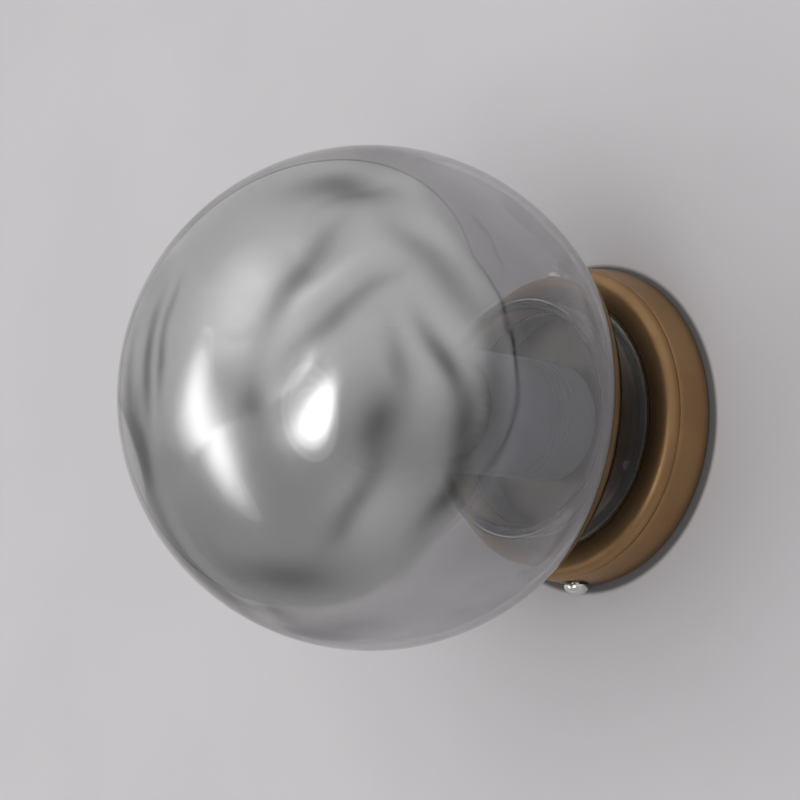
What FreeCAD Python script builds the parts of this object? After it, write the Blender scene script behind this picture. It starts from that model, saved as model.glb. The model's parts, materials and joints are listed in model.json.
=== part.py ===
import FreeCAD, Part
import math
import os

# Globe wall sconce: a plated glass globe with a threaded neck, screwed into a
# shallow round dish that hangs on a wall bracket, with a lampholder and a lamp
# on the globe's axis.  Millimetres.  The wall is the plane Y = 0, the sconce
# stands out along -Y and +Z is up.  A "reach" is a distance out from the wall.

# ---- globe -------------------------------------------------------------------
globe_d = 150.0             # outside diameter of the ball
globe_centre_reach = 94.4   # wall to the ball's centre
globe_wall = 2.4
neck_root_d = 77.4          # under the moulded thread
neck_wall = 3.1
neck_fillet = 3.0           # outside, where the neck runs into the ball
neck_lip = 0.6              # rounding of the neck's rim

# ---- thread between the neck and the gallery -----------------------------------
thread_pitch = 4.0
thread_height = 1.3         # radial, of the ridge on the neck
thread_crest_clear = 0.6    # radial, crest to the other part's root
neck_ridge_base = 1.8
neck_ridge_top = 0.8
neck_ridge_turns = 1.25
neck_ridge_stretches = 2    # swept one after the other, each under a turn
neck_ridge_start = 30.0     # degrees round the axis, from +X towards +Z
gallery_ridge_base = 1.2
gallery_ridge_top = 0.6
gallery_ridge_turns = 0.65
gallery_ridge_start = -30.0 # degrees, counted from the neck's ridge
ridge_root_sunk = 0.3       # how far a ridge's foot goes into its carrier

# ---- dish --------------------------------------------------------------------
dish_face_width = 9.2       # flat face and roll, from the gallery to the crease
dish_taper = 2.6            # wider at the wall than at the crease, in diameter
dish_crease_reach = 12.4
dish_depth = 16.5           # wall to the dish's front face
dish_lift = 0.8             # shadow gap between the dish's rim and the wall
dish_sheet = 1.0
crease_depth = 0.4
crease_width = 0.5
opening_clear = 0.1         # radial, dish opening round the gallery

# ---- gallery, the threaded cup behind the dish's face ----------------------------
gallery_depth = 8.0         # dish face to the cup's floor
gallery_sheet = 1.0
gallery_flange = 4.4        # width of the flange behind the dish's face
gasket_width = 2.5
gasket_thick = 1.0

# ---- wall bracket ---------------------------------------------------------------
strap_width = 18.0
strap_thick = 1.2
strap_bend = 1.5
tab_width = 14.0
tab_height = 10.5           # wall to the tab's end
tab_corner = 3.0
tab_clear = 1.9             # tab to the dish's inside at the screws
slot_spacing = 60.0
slot_length = 12.0
slot_width = 4.5
wire_hole_d = 16.0
earth_offset = -15.0        # height of the earth screw

# ---- screws ----------------------------------------------------------------------
m4_d = 4.0
m3_d = 3.0
pan_head_d = 8.0            # M4 pan head
pan_head_h = 3.1
pan_rim_h = 1.1             # straight rim of the head, below its crown
pan_crown_d = 4.8           # where the crown has dropped by the next value
pan_crown_drop = 0.3
dish_screw_reach = 6.0
dish_screw_length = 8.0
small_head_d = 5.4          # M3 cheese head
small_head_h = 1.6
recess_width = 0.9
recess_depth = 1.2
recess_span = 4.5           # of the cross recess
thread_fit = 0.05           # radial, screw in its tapped hole
through_fit = 0.2           # radial, screw in a plain hole

# ---- nipple, nut and washer -------------------------------------------------------
nipple_d = 10.0
nipple_bore = 7.4
nipple_end_reach = 3.9
nipple_past_boss = 1.2
nut_flats = 14.0
nut_sides = 6
nut_height = 3.0
washer_d = 15.6
washer_thick = 0.6
washer_teeth = 10
washer_notch = 1.2          # between two teeth

# ---- lampholder ------------------------------------------------------------------
holder_d = 39.0
holder_wall = 2.0
holder_foot_d = 24.0
holder_shoulder = 6.5       # length of the cap's flare
holder_bulge = 1.0          # of the flare, off a straight slope, each way
holder_boss = 4.5
holder_split_reach = 25.0   # where the cap meets the body
holder_front_reach = 61.0
holder_mouth_d = 33.0
holder_mouth_depth = 7.0
holder_bore_d = 29.0
holder_rib_count = 4
holder_rib_deep = 0.5
holder_rib_pitch = 2.4
insert_thick = 6.5
insert_clear = 0.25
shell_d = 27.2              # inside diameter of the screw shell
shell_sheet = 0.4
shell_length = 23.0
contact_width = 6.0
contact_sheet = 0.5
contact_rise = 2.6
contact_run = 9.0           # its fixed end, off the axis
contact_foot = 4.0          # flat on the insert
contact_slope = 3.6
contact_tip = 5.4           # flat under the lamp
holder_terminal_offset = 9.0

# ---- lamp ------------------------------------------------------------------------
lamp_cap_d = 26.4
lamp_cap_length = 18.0
lamp_contact_d = 9.6
lamp_contact_h = 1.0
lamp_insulator_h = 4.0
lamp_insulator_d = 22.0
lamp_skirt_root_d = 27.6
lamp_skirt_hollow = 0.55    # of the flare, off a straight slope
lamp_seam_d = 36.7          # where skirt and ball meet
lamp_ball_d = 45.0
lamp_length = 77.5
lamp_wall = 1.2
lamp_rest_gap = 0.1         # lamp contact to the spring contact

# ---- terminal block and leads -------------------------------------------------------
block_offset = 24.0         # block's centre, sideways from the axis
block_width = 16.0
block_pole_pitch = 8.0
block_poles = 3             # earth, neutral and live, from below
block_barrel_d = 6.2
block_barrel_round = 1.2
block_web = 2.2
block_web_inset = 2.4       # from each end of the barrels
block_lug = 8.0             # length of the fixing lug below the last pole
pole_bore = 2.8
pole_wall = 0.5             # brass insert
pole_cover = 0.35           # moulding behind the insert
insert_shorter = 1.5        # how far the insert stays inside the moulding's ends
clamp_screw_d = 2.5
clamp_screw_spacing = 8.0
clamp_screw_length = 1.2
lead_d = 1.8
lead_reach = 2.8            # the leads run this far off the wall behind the nut
lead_bend = 2.1             # middle-line radius where a lead leaves the nipple
lead_splay = 1.5            # live and neutral, each side of the axis in the nipple
lead_into_pole = 3.5
lead_short_of_pole = 4.5    # last bend to the block
lead_from_screw = 2.6       # lead's end to the middle of the lampholder's screw
bend_share = 0.45           # of the shorter run beside a bend, at most
tag_d = 8.4
tag_thick = 0.7
tag_barrel_d = 3.0
tag_barrel_length = 4.0

cutter_over = 1.0           # how far a cutter runs past what it cuts
same = 1e-6                 # two places closer than this are one

globe_r = globe_d / 2.0
neck_root_r = neck_root_d / 2.0
neck_crest_r = neck_root_r + thread_height
neck_bore_r = neck_root_r - neck_wall
gallery_bore_r = neck_crest_r + thread_crest_clear
gallery_crest_r = neck_root_r + thread_crest_clear
gallery_outer_r = gallery_bore_r + gallery_sheet
crease_r = gallery_outer_r + dish_face_width
dish_back_r = crease_r + dish_taper / 2.0
gallery_floor_reach = dish_depth - gallery_depth
gallery_back_reach = gallery_floor_reach - gallery_sheet
neck_end_reach = gallery_floor_reach + gasket_thick
thread_start_reach = neck_end_reach + neck_lip + neck_ridge_base / 2.0
holder_r = holder_d / 2.0
holder_foot_reach = gallery_floor_reach
insert_front_reach = holder_split_reach + insert_thick / 2.0
insert_back_reach = insert_front_reach - insert_thick
lamp_start_reach = insert_front_reach + contact_sheet + contact_rise + lamp_rest_gap
lamp_cap_reach = lamp_start_reach + lamp_contact_h + lamp_insulator_h
lamp_skirt_reach = lamp_cap_reach + lamp_cap_length
lamp_ball_r = lamp_ball_d / 2.0
lamp_ball_reach = lamp_start_reach + lamp_length - lamp_ball_r
lamp_seam_r = lamp_seam_d / 2.0
lamp_seam_reach = lamp_ball_reach - math.sqrt(lamp_ball_r ** 2 - lamp_seam_r ** 2)
block_back_reach = lead_reach - pole_bore / 2.0 - pole_wall - pole_cover
block_near = block_offset - block_width / 2.0

OUT = FreeCAD.Vector(0, -1, 0)
UP = FreeCAD.Vector(0, 0, 1)
SIDE = FreeCAD.Vector(1, 0, 0)
FULL_TURN = 360.0
POLE = 90.0                 # angle of a ball's outermost point, as on_arc counts


def point(radius, reach):
    """A point of a turned outline, in the plane Z = 0."""
    return FreeCAD.Vector(radius, -reach, 0)


def place(side, reach, height):
    """A point of the row frame, from its reach off the wall."""
    return FreeCAD.Vector(side, -reach, height)


def turned(start, *steps):
    """A solid turned about the sconce's axis.

    Each step is the next corner (radius, reach), or a pair of such points for
    an arc: one on the arc and its end.
    """
    here = point(*start)
    edges = []
    for step in steps + (start,):
        if isinstance(step[0], tuple):
            middle, end = point(*step[0]), point(*step[1])
            edges.append(Part.Arc(here, middle, end).toShape())
        else:
            end = point(*step)
            if here.distanceToPoint(end) < same:
                continue
            edges.append(Part.LineSegment(here, end).toShape())
        here = end
    face = Part.Face(Part.Wire(edges))
    solid = face.revolve(FreeCAD.Vector(0, 0, 0), OUT, FULL_TURN)
    return outward(solid)


def outward(solid):
    """The same solid, with its faces pointing outwards."""
    if solid.Volume < 0:
        solid.reverse()
    return solid


def on_arc(centre, radius, degrees):
    """A point on an arc of an outline; 0 is away from the axis, 90 is out."""
    turn = math.radians(degrees)
    return (centre[0] + radius * math.cos(turn), centre[1] + radius * math.sin(turn))


def rod(base, direction, diameter, length):
    """A plain cylinder."""
    return Part.makeCylinder(diameter / 2.0, length, base, direction)


def tube(base, direction, outer, inner, length):
    """A plain ring or tube."""
    return rod(base, direction, outer, length).cut(rod(base, direction, inner, length))


def block(low, high):
    """A box from its low to its high corner."""
    size = high - low
    return Part.makeBox(size.x, size.y, size.z, low)


def screw_ridge(foot_r, crest_r, foot_width, top_width, turns, start_reach, start_turn):
    """A right-hand ridge round the axis, to fuse to a wall.

    Its middle line starts start_reach off the wall and start_turn degrees round
    the axis, from +X towards +Z.
    """
    rise = thread_pitch * turns
    sunk = ridge_root_sunk if crest_r > foot_r else -ridge_root_sunk
    base_r = foot_r - sunk
    corners = [(base_r, -foot_width / 2.0), (foot_r, -foot_width / 2.0),
               (crest_r, -top_width / 2.0), (crest_r, top_width / 2.0),
               (foot_r, foot_width / 2.0), (base_r, foot_width / 2.0)]
    points = [FreeCAD.Vector(radius, 0, height) for radius, height in corners]
    outline = Part.makePolygon(points + points[:1])
    helix = Part.makeHelix(thread_pitch, rise, foot_r)
    ridge = Part.Wire(helix.Edges).makePipeShell([outline], True, True)
    ridge.rotate(FreeCAD.Vector(0, 0, 0), SIDE, 90)
    ridge.rotate(FreeCAD.Vector(0, 0, 0), OUT, start_turn)
    ridge.translate(place(0, start_reach, 0))
    return outward(ridge)


def dish_radius(reach):
    """The dish's outside radius on its tapered side."""
    return dish_back_r + (crease_r - dish_back_r) * reach / dish_crease_reach


def globe():
    """Ball and neck in one blown piece, with the moulded thread round the neck."""
    centre = (0.0, globe_centre_reach)
    inner_r = globe_r - globe_wall
    fillet_r = neck_root_r + neck_fillet
    drop = math.sqrt((globe_r + neck_fillet) ** 2 - fillet_r ** 2)
    fillet_centre = (fillet_r, globe_centre_reach - drop)
    meet = math.degrees(math.atan2(-drop, fillet_r))
    inner_meet = -math.degrees(math.acos(neck_bore_r / inner_r))
    lip_reach = neck_end_reach + neck_lip
    outer_lip = (neck_root_r - neck_lip, lip_reach)
    inner_lip = (neck_bore_r + neck_lip, lip_reach)
    body = turned(
        (0.0, globe_centre_reach + globe_r),
        (on_arc(centre, globe_r, (POLE + meet) / 2.0), on_arc(centre, globe_r, meet)),
        (on_arc(fillet_centre, neck_fillet, meet / 2.0 + 180.0),
         (neck_root_r, fillet_centre[1])),
        (neck_root_r, lip_reach),
        (on_arc(outer_lip, neck_lip, -45.0), (outer_lip[0], neck_end_reach)),
        (inner_lip[0], neck_end_reach),
        (on_arc(inner_lip, neck_lip, -135.0), (neck_bore_r, lip_reach)),
        on_arc(centre, inner_r, inner_meet),
        (on_arc(centre, inner_r, (POLE + inner_meet) / 2.0),
         (0.0, globe_centre_reach + inner_r)),
    )
    for stretch in range(neck_ridge_stretches):
        done = neck_ridge_turns * stretch / neck_ridge_stretches
        ridge = screw_ridge(neck_root_r, neck_crest_r, neck_ridge_base, neck_ridge_top,
                            neck_ridge_turns / neck_ridge_stretches,
                            thread_start_reach + thread_pitch * done,
                            neck_ridge_start + FULL_TURN * done)
        body = body.fuse(ridge)
    return body


def dish():
    """Drawn steel canopy: tapered side, crease, rolled edge and flat face."""
    roll_out_r = crease_r - crease_depth
    roll_reach = dish_crease_reach + crease_width
    roll = dish_depth - roll_reach
    roll_centre = (roll_out_r - roll, roll_reach)
    inner_roll = roll - dish_sheet
    opening_r = gallery_outer_r + opening_clear
    shell = turned(
        (dish_radius(dish_lift), dish_lift),
        (crease_r, dish_crease_reach),
        (roll_out_r, dish_crease_reach),
        (roll_out_r, roll_reach),
        (on_arc(roll_centre, roll, 45.0), (roll_centre[0], dish_depth)),
        (opening_r, dish_depth),
        (opening_r, dish_depth - dish_sheet),
        (roll_centre[0], dish_depth - dish_sheet),
        (on_arc(roll_centre, inner_roll, 45.0), (roll_centre[0] + inner_roll, roll_reach)),
        (dish_radius(dish_lift) - dish_sheet, dish_lift),
    )
    for side in (-1, 1):
        base = place(0, dish_screw_reach, side * gallery_outer_r)
        shell = shell.cut(rod(base, UP * side, m4_d + 2.0 * through_fit, dish_back_r))
    return shell


def gallery():
    """Threaded cup that takes the neck; its flange is welded behind the dish's face."""
    flange_front = dish_depth - dish_sheet
    flange_r = gallery_outer_r + gallery_flange
    hole_r = nipple_d / 2.0 + thread_fit
    cup = turned(
        (hole_r, gallery_back_reach),
        (hole_r, gallery_floor_reach),
        (gallery_bore_r, gallery_floor_reach),
        (gallery_bore_r, dish_depth),
        (gallery_outer_r, dish_depth),
        (gallery_outer_r, flange_front),
        (flange_r, flange_front),
        (flange_r, flange_front - gallery_sheet),
        (gallery_outer_r, flange_front - gallery_sheet),
        (gallery_outer_r, gallery_back_reach),
    )
    lead_in = thread_pitch * (0.5 + gallery_ridge_start / FULL_TURN)
    ridge = screw_ridge(gallery_bore_r, gallery_crest_r, gallery_ridge_base,
                        gallery_ridge_top, gallery_ridge_turns,
                        thread_start_reach + lead_in,
                        neck_ridge_start + gallery_ridge_start)
    cup = cup.fuse(ridge)
    tap = rod(place(block_offset, 0, lug_height()), OUT, m3_d + 2.0 * thread_fit, dish_depth)
    return cup.cut(tap)


def neck_gasket():
    """Silicone ring on the end of the glass neck."""
    outer_d = neck_root_d - 2.0 * thread_fit
    return tube(place(0, gallery_floor_reach, 0), OUT, outer_d,
                outer_d - 2.0 * gasket_width, gasket_thick)


def wall_bracket():
    """Zinc-plated strap with slots for the wall screws and a tapped tab at each end."""
    tab_out = dish_radius(dish_screw_reach) - dish_sheet - tab_clear
    low = place(-strap_width / 2.0, strap_thick, -tab_out)
    high = place(strap_width / 2.0, 0, tab_out)
    strap = block(low, high)
    half = tab_width / 2.0
    for side in (-1, 1):
        inside = side * (tab_out - strap_thick)
        corners = sorted([inside, side * tab_out])
        tab = block(place(-half, tab_height, corners[0]), place(half, 0, corners[1]))
        ends = [edge for edge in tab.Edges if is_along(edge, UP)
                and edge.BoundBox.YMax < -strap_thick]
        tab = tab.makeFillet(tab_corner, ends)
        strap = strap.fuse(tab)
    strap = strap.removeSplitter()
    heels = [edge for edge in strap.Edges if is_along(edge, SIDE)
             and abs(edge.BoundBox.YMax) < same]
    strap = strap.makeFillet(strap_bend, heels)
    strap = strap.cut(rod(place(0, 0, 0), OUT, wire_hole_d, strap_thick))
    for side in (-1, 1):
        strap = strap.cut(slot(side * slot_spacing / 2.0))
        tap = rod(place(0, dish_screw_reach, side * tab_out / 2.0), UP * side,
                  m4_d + 2.0 * thread_fit, tab_out)
        strap = strap.cut(tap)
    return strap.cut(rod(place(0, 0, earth_offset), OUT, m4_d + 2.0 * thread_fit, strap_thick))


def is_along(edge, direction):
    """Whether an edge is straight and lies along a direction."""
    run = edge.lastVertex().Point - edge.firstVertex().Point
    return run.Length > same and run.cross(direction).Length < same * run.Length


def slot(height):
    """The cutter of one upright slot for a wall screw."""
    half = (slot_length - slot_width) / 2.0
    width = slot_width / 2.0
    cutter = block(place(-width, strap_thick, height - half), place(width, 0, height + half))
    for end in (-half, half):
        cutter = cutter.fuse(rod(place(0, 0, height + end), OUT, slot_width, strap_thick))
    return cutter.removeSplitter()


def pan_screw(seat, outwards, length):
    """M4 pan head screw with a cross recess; outwards points from the seat to the head."""
    low, top = FreeCAD.Vector(pan_head_d / 2.0, 0, 0), FreeCAD.Vector(0, pan_head_h, 0)
    shoulder = FreeCAD.Vector(pan_head_d / 2.0, pan_rim_h, 0)
    crown = FreeCAD.Vector(pan_crown_d / 2.0, pan_head_h - pan_crown_drop, 0)
    outline = [
        Part.LineSegment(FreeCAD.Vector(0, 0, 0), low).toShape(),
        Part.LineSegment(low, shoulder).toShape(),
        Part.Arc(shoulder, crown, top).toShape(),
        Part.LineSegment(top, FreeCAD.Vector(0, 0, 0)).toShape(),
    ]
    axis = FreeCAD.Vector(0, 1, 0)
    head = outward(Part.Face(Part.Wire(outline)).revolve(FreeCAD.Vector(0, 0, 0), axis, FULL_TURN))
    shank = rod(FreeCAD.Vector(0, -length, 0), axis, m4_d, length)
    reach = recess_span / 2.0
    half = recess_width / 2.0
    floor = pan_head_h - recess_depth
    for long_x, long_z in ((reach, half), (half, reach)):
        arm = block(FreeCAD.Vector(-long_x, floor, -long_z),
                    FreeCAD.Vector(long_x, pan_head_h + cutter_over, long_z))
        head = head.cut(arm)
    screw = head.fuse(shank)
    screw.Placement = FreeCAD.Placement(seat, FreeCAD.Rotation(axis, outwards))
    return screw


def slotted_screw(seat, outwards, length):
    """M3 cheese head screw with a slot; outwards points from the seat to the head."""
    head = rod(FreeCAD.Vector(0, 0, 0), UP, small_head_d, small_head_h)
    half = recess_width / 2.0
    groove = block(FreeCAD.Vector(-small_head_d, -half, small_head_h / 2.0),
                   FreeCAD.Vector(small_head_d, half, small_head_h + cutter_over))
    screw = head.cut(groove).fuse(rod(FreeCAD.Vector(0, 0, -length), UP, m3_d, length))
    screw.Placement = FreeCAD.Placement(seat, FreeCAD.Rotation(UP, outwards))
    return screw


def dish_screws():
    """The two screws that hold the dish to the bracket's tabs, below and above."""
    seat_r = dish_radius(dish_screw_reach - pan_head_d / 2.0)
    return Part.makeCompound([
        pan_screw(place(0, dish_screw_reach, side * seat_r), UP * side, dish_screw_length)
        for side in (-1, 1)])


def earth_screw():
    """Earth screw of the bracket, on its ring tag."""
    seat = place(0, strap_thick + tag_thick, earth_offset)
    return pan_screw(seat, OUT, strap_thick + tag_thick)


def nipple():
    """Hollow threaded tube that carries the lampholder and passes the leads."""
    end_reach = gallery_floor_reach + holder_boss + nipple_past_boss
    return tube(place(0, nipple_end_reach, 0), OUT, nipple_d, nipple_bore,
                end_reach - nipple_end_reach)


def nipple_washer():
    """Toothed lock washer behind the gallery's floor."""
    washer = tube(place(0, gallery_back_reach - washer_thick, 0), OUT, washer_d,
                  nipple_d + 2.0 * thread_fit, washer_thick)
    for tooth in range(washer_teeth):
        notch = block(place(washer_d / 2.0 - washer_notch, gallery_back_reach, -recess_width / 2.0),
                      place(washer_d, gallery_back_reach - washer_thick, recess_width / 2.0))
        notch.rotate(FreeCAD.Vector(0, 0, 0), OUT, FULL_TURN * tooth / washer_teeth)
        washer = washer.cut(notch)
    return washer


def nipple_nut():
    """Thin hexagon nut on the nipple."""
    low = gallery_back_reach - washer_thick - nut_height
    corner_r = nut_flats / 2.0 / math.cos(math.pi / nut_sides)
    corners = []
    for corner in range(nut_sides + 1):
        turn = math.radians(FULL_TURN * corner / nut_sides)
        corners.append(place(corner_r * math.cos(turn), low, corner_r * math.sin(turn)))
    prism = Part.Face(Part.makePolygon(corners)).extrude(OUT * nut_height)
    bore = rod(place(0, low, 0), OUT, nipple_d + 2.0 * thread_fit, nut_height)
    return outward(prism).cut(bore)


def holder_cap():
    """Moulded foot of the lampholder, tapped for the nipple."""
    foot_r = holder_foot_d / 2.0
    shoulder_reach = holder_foot_reach + holder_shoulder
    boss_reach = holder_foot_reach + holder_boss
    inner_r = holder_r - holder_wall
    hole_r = nipple_d / 2.0 + thread_fit
    middle = ((foot_r + holder_r) / 2.0 + holder_bulge,
              (holder_foot_reach + shoulder_reach) / 2.0 - holder_bulge)
    return turned(
        (hole_r, holder_foot_reach),
        (foot_r, holder_foot_reach),
        (middle, (holder_r, shoulder_reach)),
        (holder_r, holder_split_reach),
        (inner_r, holder_split_reach),
        (inner_r, shoulder_reach),
        (foot_r - holder_wall, boss_reach),
        (hole_r, boss_reach),
    )


def holder_body():
    """Moulded skirt of the lampholder, ribbed for grip near its split."""
    inner_r = holder_r - holder_wall
    bore_r = holder_bore_d / 2.0
    mouth_r = holder_mouth_d / 2.0
    mouth_reach = holder_front_reach - holder_mouth_depth
    rim = (holder_r - mouth_r) / 2.0
    rim_centre = (mouth_r + rim, holder_front_reach - rim)
    skirt = turned(
        (inner_r, holder_split_reach),
        (holder_r, holder_split_reach),
        (holder_r, rim_centre[1]),
        (on_arc(rim_centre, rim, 90.0), (mouth_r, rim_centre[1])),
        (mouth_r, mouth_reach),
        (bore_r, mouth_reach - (mouth_r - bore_r)),
        (bore_r, insert_front_reach),
        (inner_r, insert_front_reach),
    )
    for rib in range(holder_rib_count):
        reach = holder_split_reach + holder_rib_pitch * (rib + 1)
        groove = tube(place(0, reach, 0), OUT, holder_d + cutter_over,
                      holder_d - 2.0 * holder_rib_deep, holder_rib_pitch / 2.0)
        skirt = skirt.cut(groove)
    return skirt


def holder_insert():
    """Ceramic disc that carries the lampholder's contacts."""
    disc = rod(place(0, insert_back_reach, 0), OUT,
               holder_d - 2.0 * (holder_wall + insert_clear), insert_thick)
    for side in (-1, 1):
        hole = rod(place(side * holder_terminal_offset, insert_back_reach, 0), OUT,
                   m3_d + 2.0 * thread_fit, insert_thick)
        disc = disc.cut(hole)
    return disc


def holder_shell():
    """Plated screw shell of the lampholder; its thread is rolled in thin sheet."""
    outer_d = shell_d + 2.0 * shell_sheet
    return tube(place(0, insert_front_reach, 0), OUT, outer_d, shell_d, shell_length)


def centre_contact():
    """Sprung strip that presses on the lamp's contact."""
    half = contact_width / 2.0
    foot_end = contact_run - contact_foot
    slope_end = foot_end - contact_slope
    steps = [(contact_run, 0.0), (foot_end, 0.0), (slope_end, contact_rise),
             (slope_end - contact_tip, contact_rise)]
    lower = [place(side, insert_front_reach + rise, -half) for side, rise in steps]
    upper = [place(side, insert_front_reach + rise + contact_sheet, -half)
             for side, rise in reversed(steps)]
    outline = Part.makePolygon(lower + upper + lower[:1])
    return outward(Part.Face(outline).extrude(UP * contact_width))


def holder_terminal_screws():
    """The two lead screws at the back of the lampholder's insert."""
    return Part.makeCompound([
        slotted_screw(place(side * holder_terminal_offset, insert_back_reach - lead_d, 0),
                      OUT * -1, lead_d + insert_thick / 2.0) for side in (-1, 1)])


def poles():
    """Heights of the terminal block's poles, from below."""
    middle = (block_poles - 1) / 2.0
    return [(pole - middle) * block_pole_pitch for pole in range(block_poles)]


def lug_height():
    """Height of the screw that fixes the terminal block."""
    return poles()[0] - (block_barrel_d + block_lug) / 2.0


def clamp_places():
    """Where the terminal block's clamping screws stand: sideways and height."""
    half = clamp_screw_spacing / 2.0
    return [(block_offset + side, height) for height in poles() for side in (-half, half)]


def terminal_block():
    """Moulded three-pole block, screwed to the back of the gallery's floor."""
    half = block_barrel_d / 2.0
    lug_end = poles()[0] - half - block_lug
    web_near = block_near + block_web_inset
    web_far = block_near + block_width - block_web_inset
    moulding = block(place(web_near, gallery_back_reach, lug_end),
                     place(web_far, gallery_back_reach - block_web, poles()[-1]))
    for height in poles():
        barrel = block(place(block_near, gallery_back_reach, height - half),
                       place(block_near + block_width, block_back_reach, height + half))
        back = [edge for edge in barrel.Edges if is_along(edge, SIDE)
                and edge.BoundBox.YMin > -block_back_reach - same]
        moulding = moulding.fuse(barrel.makeFillet(block_barrel_round, back))
    moulding = moulding.removeSplitter()
    for height in poles():
        hollow = rod(place(block_near, lead_reach, height), SIDE,
                     pole_bore + 2.0 * pole_wall, block_width)
        moulding = moulding.cut(hollow)
    for side, height in clamp_places():
        moulding = moulding.cut(rod(place(side, 0, height), OUT,
                                    clamp_screw_d + 2.0 * through_fit, lead_reach))
    return moulding.cut(rod(place(block_offset, 0, lug_height()), OUT,
                            m3_d + 2.0 * through_fit, dish_depth))


def terminal_inserts():
    """Brass tubes of the terminal block, one a pole."""
    inserts = []
    for height in poles():
        insert = tube(place(block_near + insert_shorter, lead_reach, height), SIDE,
                      pole_bore + 2.0 * pole_wall, pole_bore,
                      block_width - 2.0 * insert_shorter)
        for side, row in clamp_places():
            if row == height:
                insert = insert.cut(rod(place(side, 0, row), OUT,
                                        clamp_screw_d + 2.0 * thread_fit, lead_reach))
        inserts.append(insert)
    return Part.makeCompound(inserts)


def terminal_screws():
    """Slotted clamping screws of the terminal block, two a pole."""
    screws = []
    half = recess_width / 2.0
    for side, height in clamp_places():
        screw = rod(place(side, block_back_reach, height), OUT, clamp_screw_d,
                    clamp_screw_length)
        groove = block(place(side - clamp_screw_d, block_back_reach + half, height - half / 2.0),
                       place(side + clamp_screw_d, 0, height + half / 2.0))
        screws.append(screw.cut(groove))
    return Part.makeCompound(screws)


def block_screw():
    """The screw that fixes the terminal block to the gallery."""
    seat = place(block_offset, gallery_back_reach - block_web, lug_height())
    return slotted_screw(seat, OUT * -1, block_web + 2.0 * gallery_sheet)


def lead(label, corners, bends):
    """An insulated lead: straight runs joined by tangent arcs."""
    edges = []
    here = corners[0]
    turned_corners = zip(corners[:-2], corners[1:-1], corners[2:], bends)
    for before, corner, after, wanted in turned_corners:
        arriving = (corner - before).normalize()
        leaving = (after - corner).normalize()
        half_turn = arriving.getAngle(leaving) / 2.0
        shorter = min((corner - before).Length, (after - corner).Length)
        radius = min(wanted, bend_share * shorter / math.tan(half_turn))
        back_off = radius * math.tan(half_turn)
        start = corner - arriving * back_off
        end = corner + leaving * back_off
        inward = (leaving - arriving).normalize()
        middle = corner + inward * (radius / math.cos(half_turn) - radius)
        edges.append(Part.LineSegment(here, start).toShape())
        edges.append(Part.Arc(start, middle, end).toShape())
        print(label, "bend radius", round(radius, 2))
        here = end
    edges.append(Part.LineSegment(here, corners[-1]).toShape())
    path = Part.Wire(edges)
    start_edge = corners[1] - corners[0]
    section = Part.Wire([Part.makeCircle(lead_d / 2.0, corners[0], start_edge)])
    solid = outward(path.makePipeShell([section], True, True))
    expected = math.pi * lead_d ** 2 / 4.0 * path.Length
    print(label, "length", round(path.Length, 2), "volume share", round(solid.Volume / expected, 4))
    return solid


def mains_lead(label, side, pole):
    """A lead from the lampholder's screw, down the nipple and into a pole."""
    splay = lead_splay if poles()[pole] > 0 else -lead_splay
    end_reach = insert_back_reach - lead_d / 2.0
    corners = [
        place(side * (holder_terminal_offset - lead_from_screw), end_reach, splay),
        place(0, end_reach, splay),
        place(0, lead_reach, splay),
        place(block_near - lead_short_of_pole, lead_reach, poles()[pole]),
        place(block_near + lead_into_pole, lead_reach, poles()[pole]),
    ]
    wide = block_width
    return lead(label, corners, (wide, lead_bend, wide))


def earth_lead():
    """The lead from the bracket's earth tag to its pole."""
    tag_end = tag_d / 2.0 + tag_barrel_length
    corners = [
        place(tag_d / 2.0 + lead_d / 2.0, lead_reach, earth_offset),
        place(tag_end + lead_d, lead_reach, earth_offset),
        place(block_near - lead_short_of_pole + lead_d, lead_reach, poles()[0]),
        place(block_near + lead_into_pole, lead_reach, poles()[0]),
    ]
    wide = block_width
    return lead("earth lead", corners, (wide, wide))


def earth_tag():
    """Ring tag under the earth screw, with the crimped barrel that holds the lead."""
    ring = rod(place(0, strap_thick, earth_offset), OUT, tag_d, tag_thick)
    start = tag_d / 2.0 + thread_fit
    tongue = block(place(0, strap_thick + tag_thick, earth_offset - tag_barrel_d / 2.0),
                   place(start + tag_barrel_d / 2.0, strap_thick, earth_offset + tag_barrel_d / 2.0))
    barrel = rod(place(start, lead_reach, earth_offset), SIDE, tag_barrel_d, tag_barrel_length)
    tag = ring.fuse(tongue).fuse(barrel)
    tag = tag.cut(rod(place(start, lead_reach, earth_offset), SIDE,
                      lead_d + 2.0 * thread_fit, tag_barrel_length))
    return tag.cut(rod(place(0, 0, earth_offset), OUT, m4_d + 2.0 * through_fit, dish_depth))


def lamp_contact():
    """The lamp's centre contact."""
    contact_r = lamp_contact_d / 2.0
    edge = lamp_contact_h / 2.0
    back = lamp_start_reach + lamp_contact_h
    return turned(
        (0.0, lamp_start_reach),
        (contact_r - edge, lamp_start_reach),
        (on_arc((contact_r - edge, lamp_start_reach + edge), edge, -45.0),
         (contact_r, lamp_start_reach + edge)),
        (contact_r, back),
        (0.0, back),
    )


def lamp_insulator():
    """Black glass between the lamp's contact and its cap."""
    start = lamp_start_reach + lamp_contact_h
    return turned(
        (0.0, start),
        (lamp_contact_d / 2.0, start),
        (lamp_insulator_d / 2.0, lamp_cap_reach),
        (0.0, lamp_cap_reach),
    )


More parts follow.
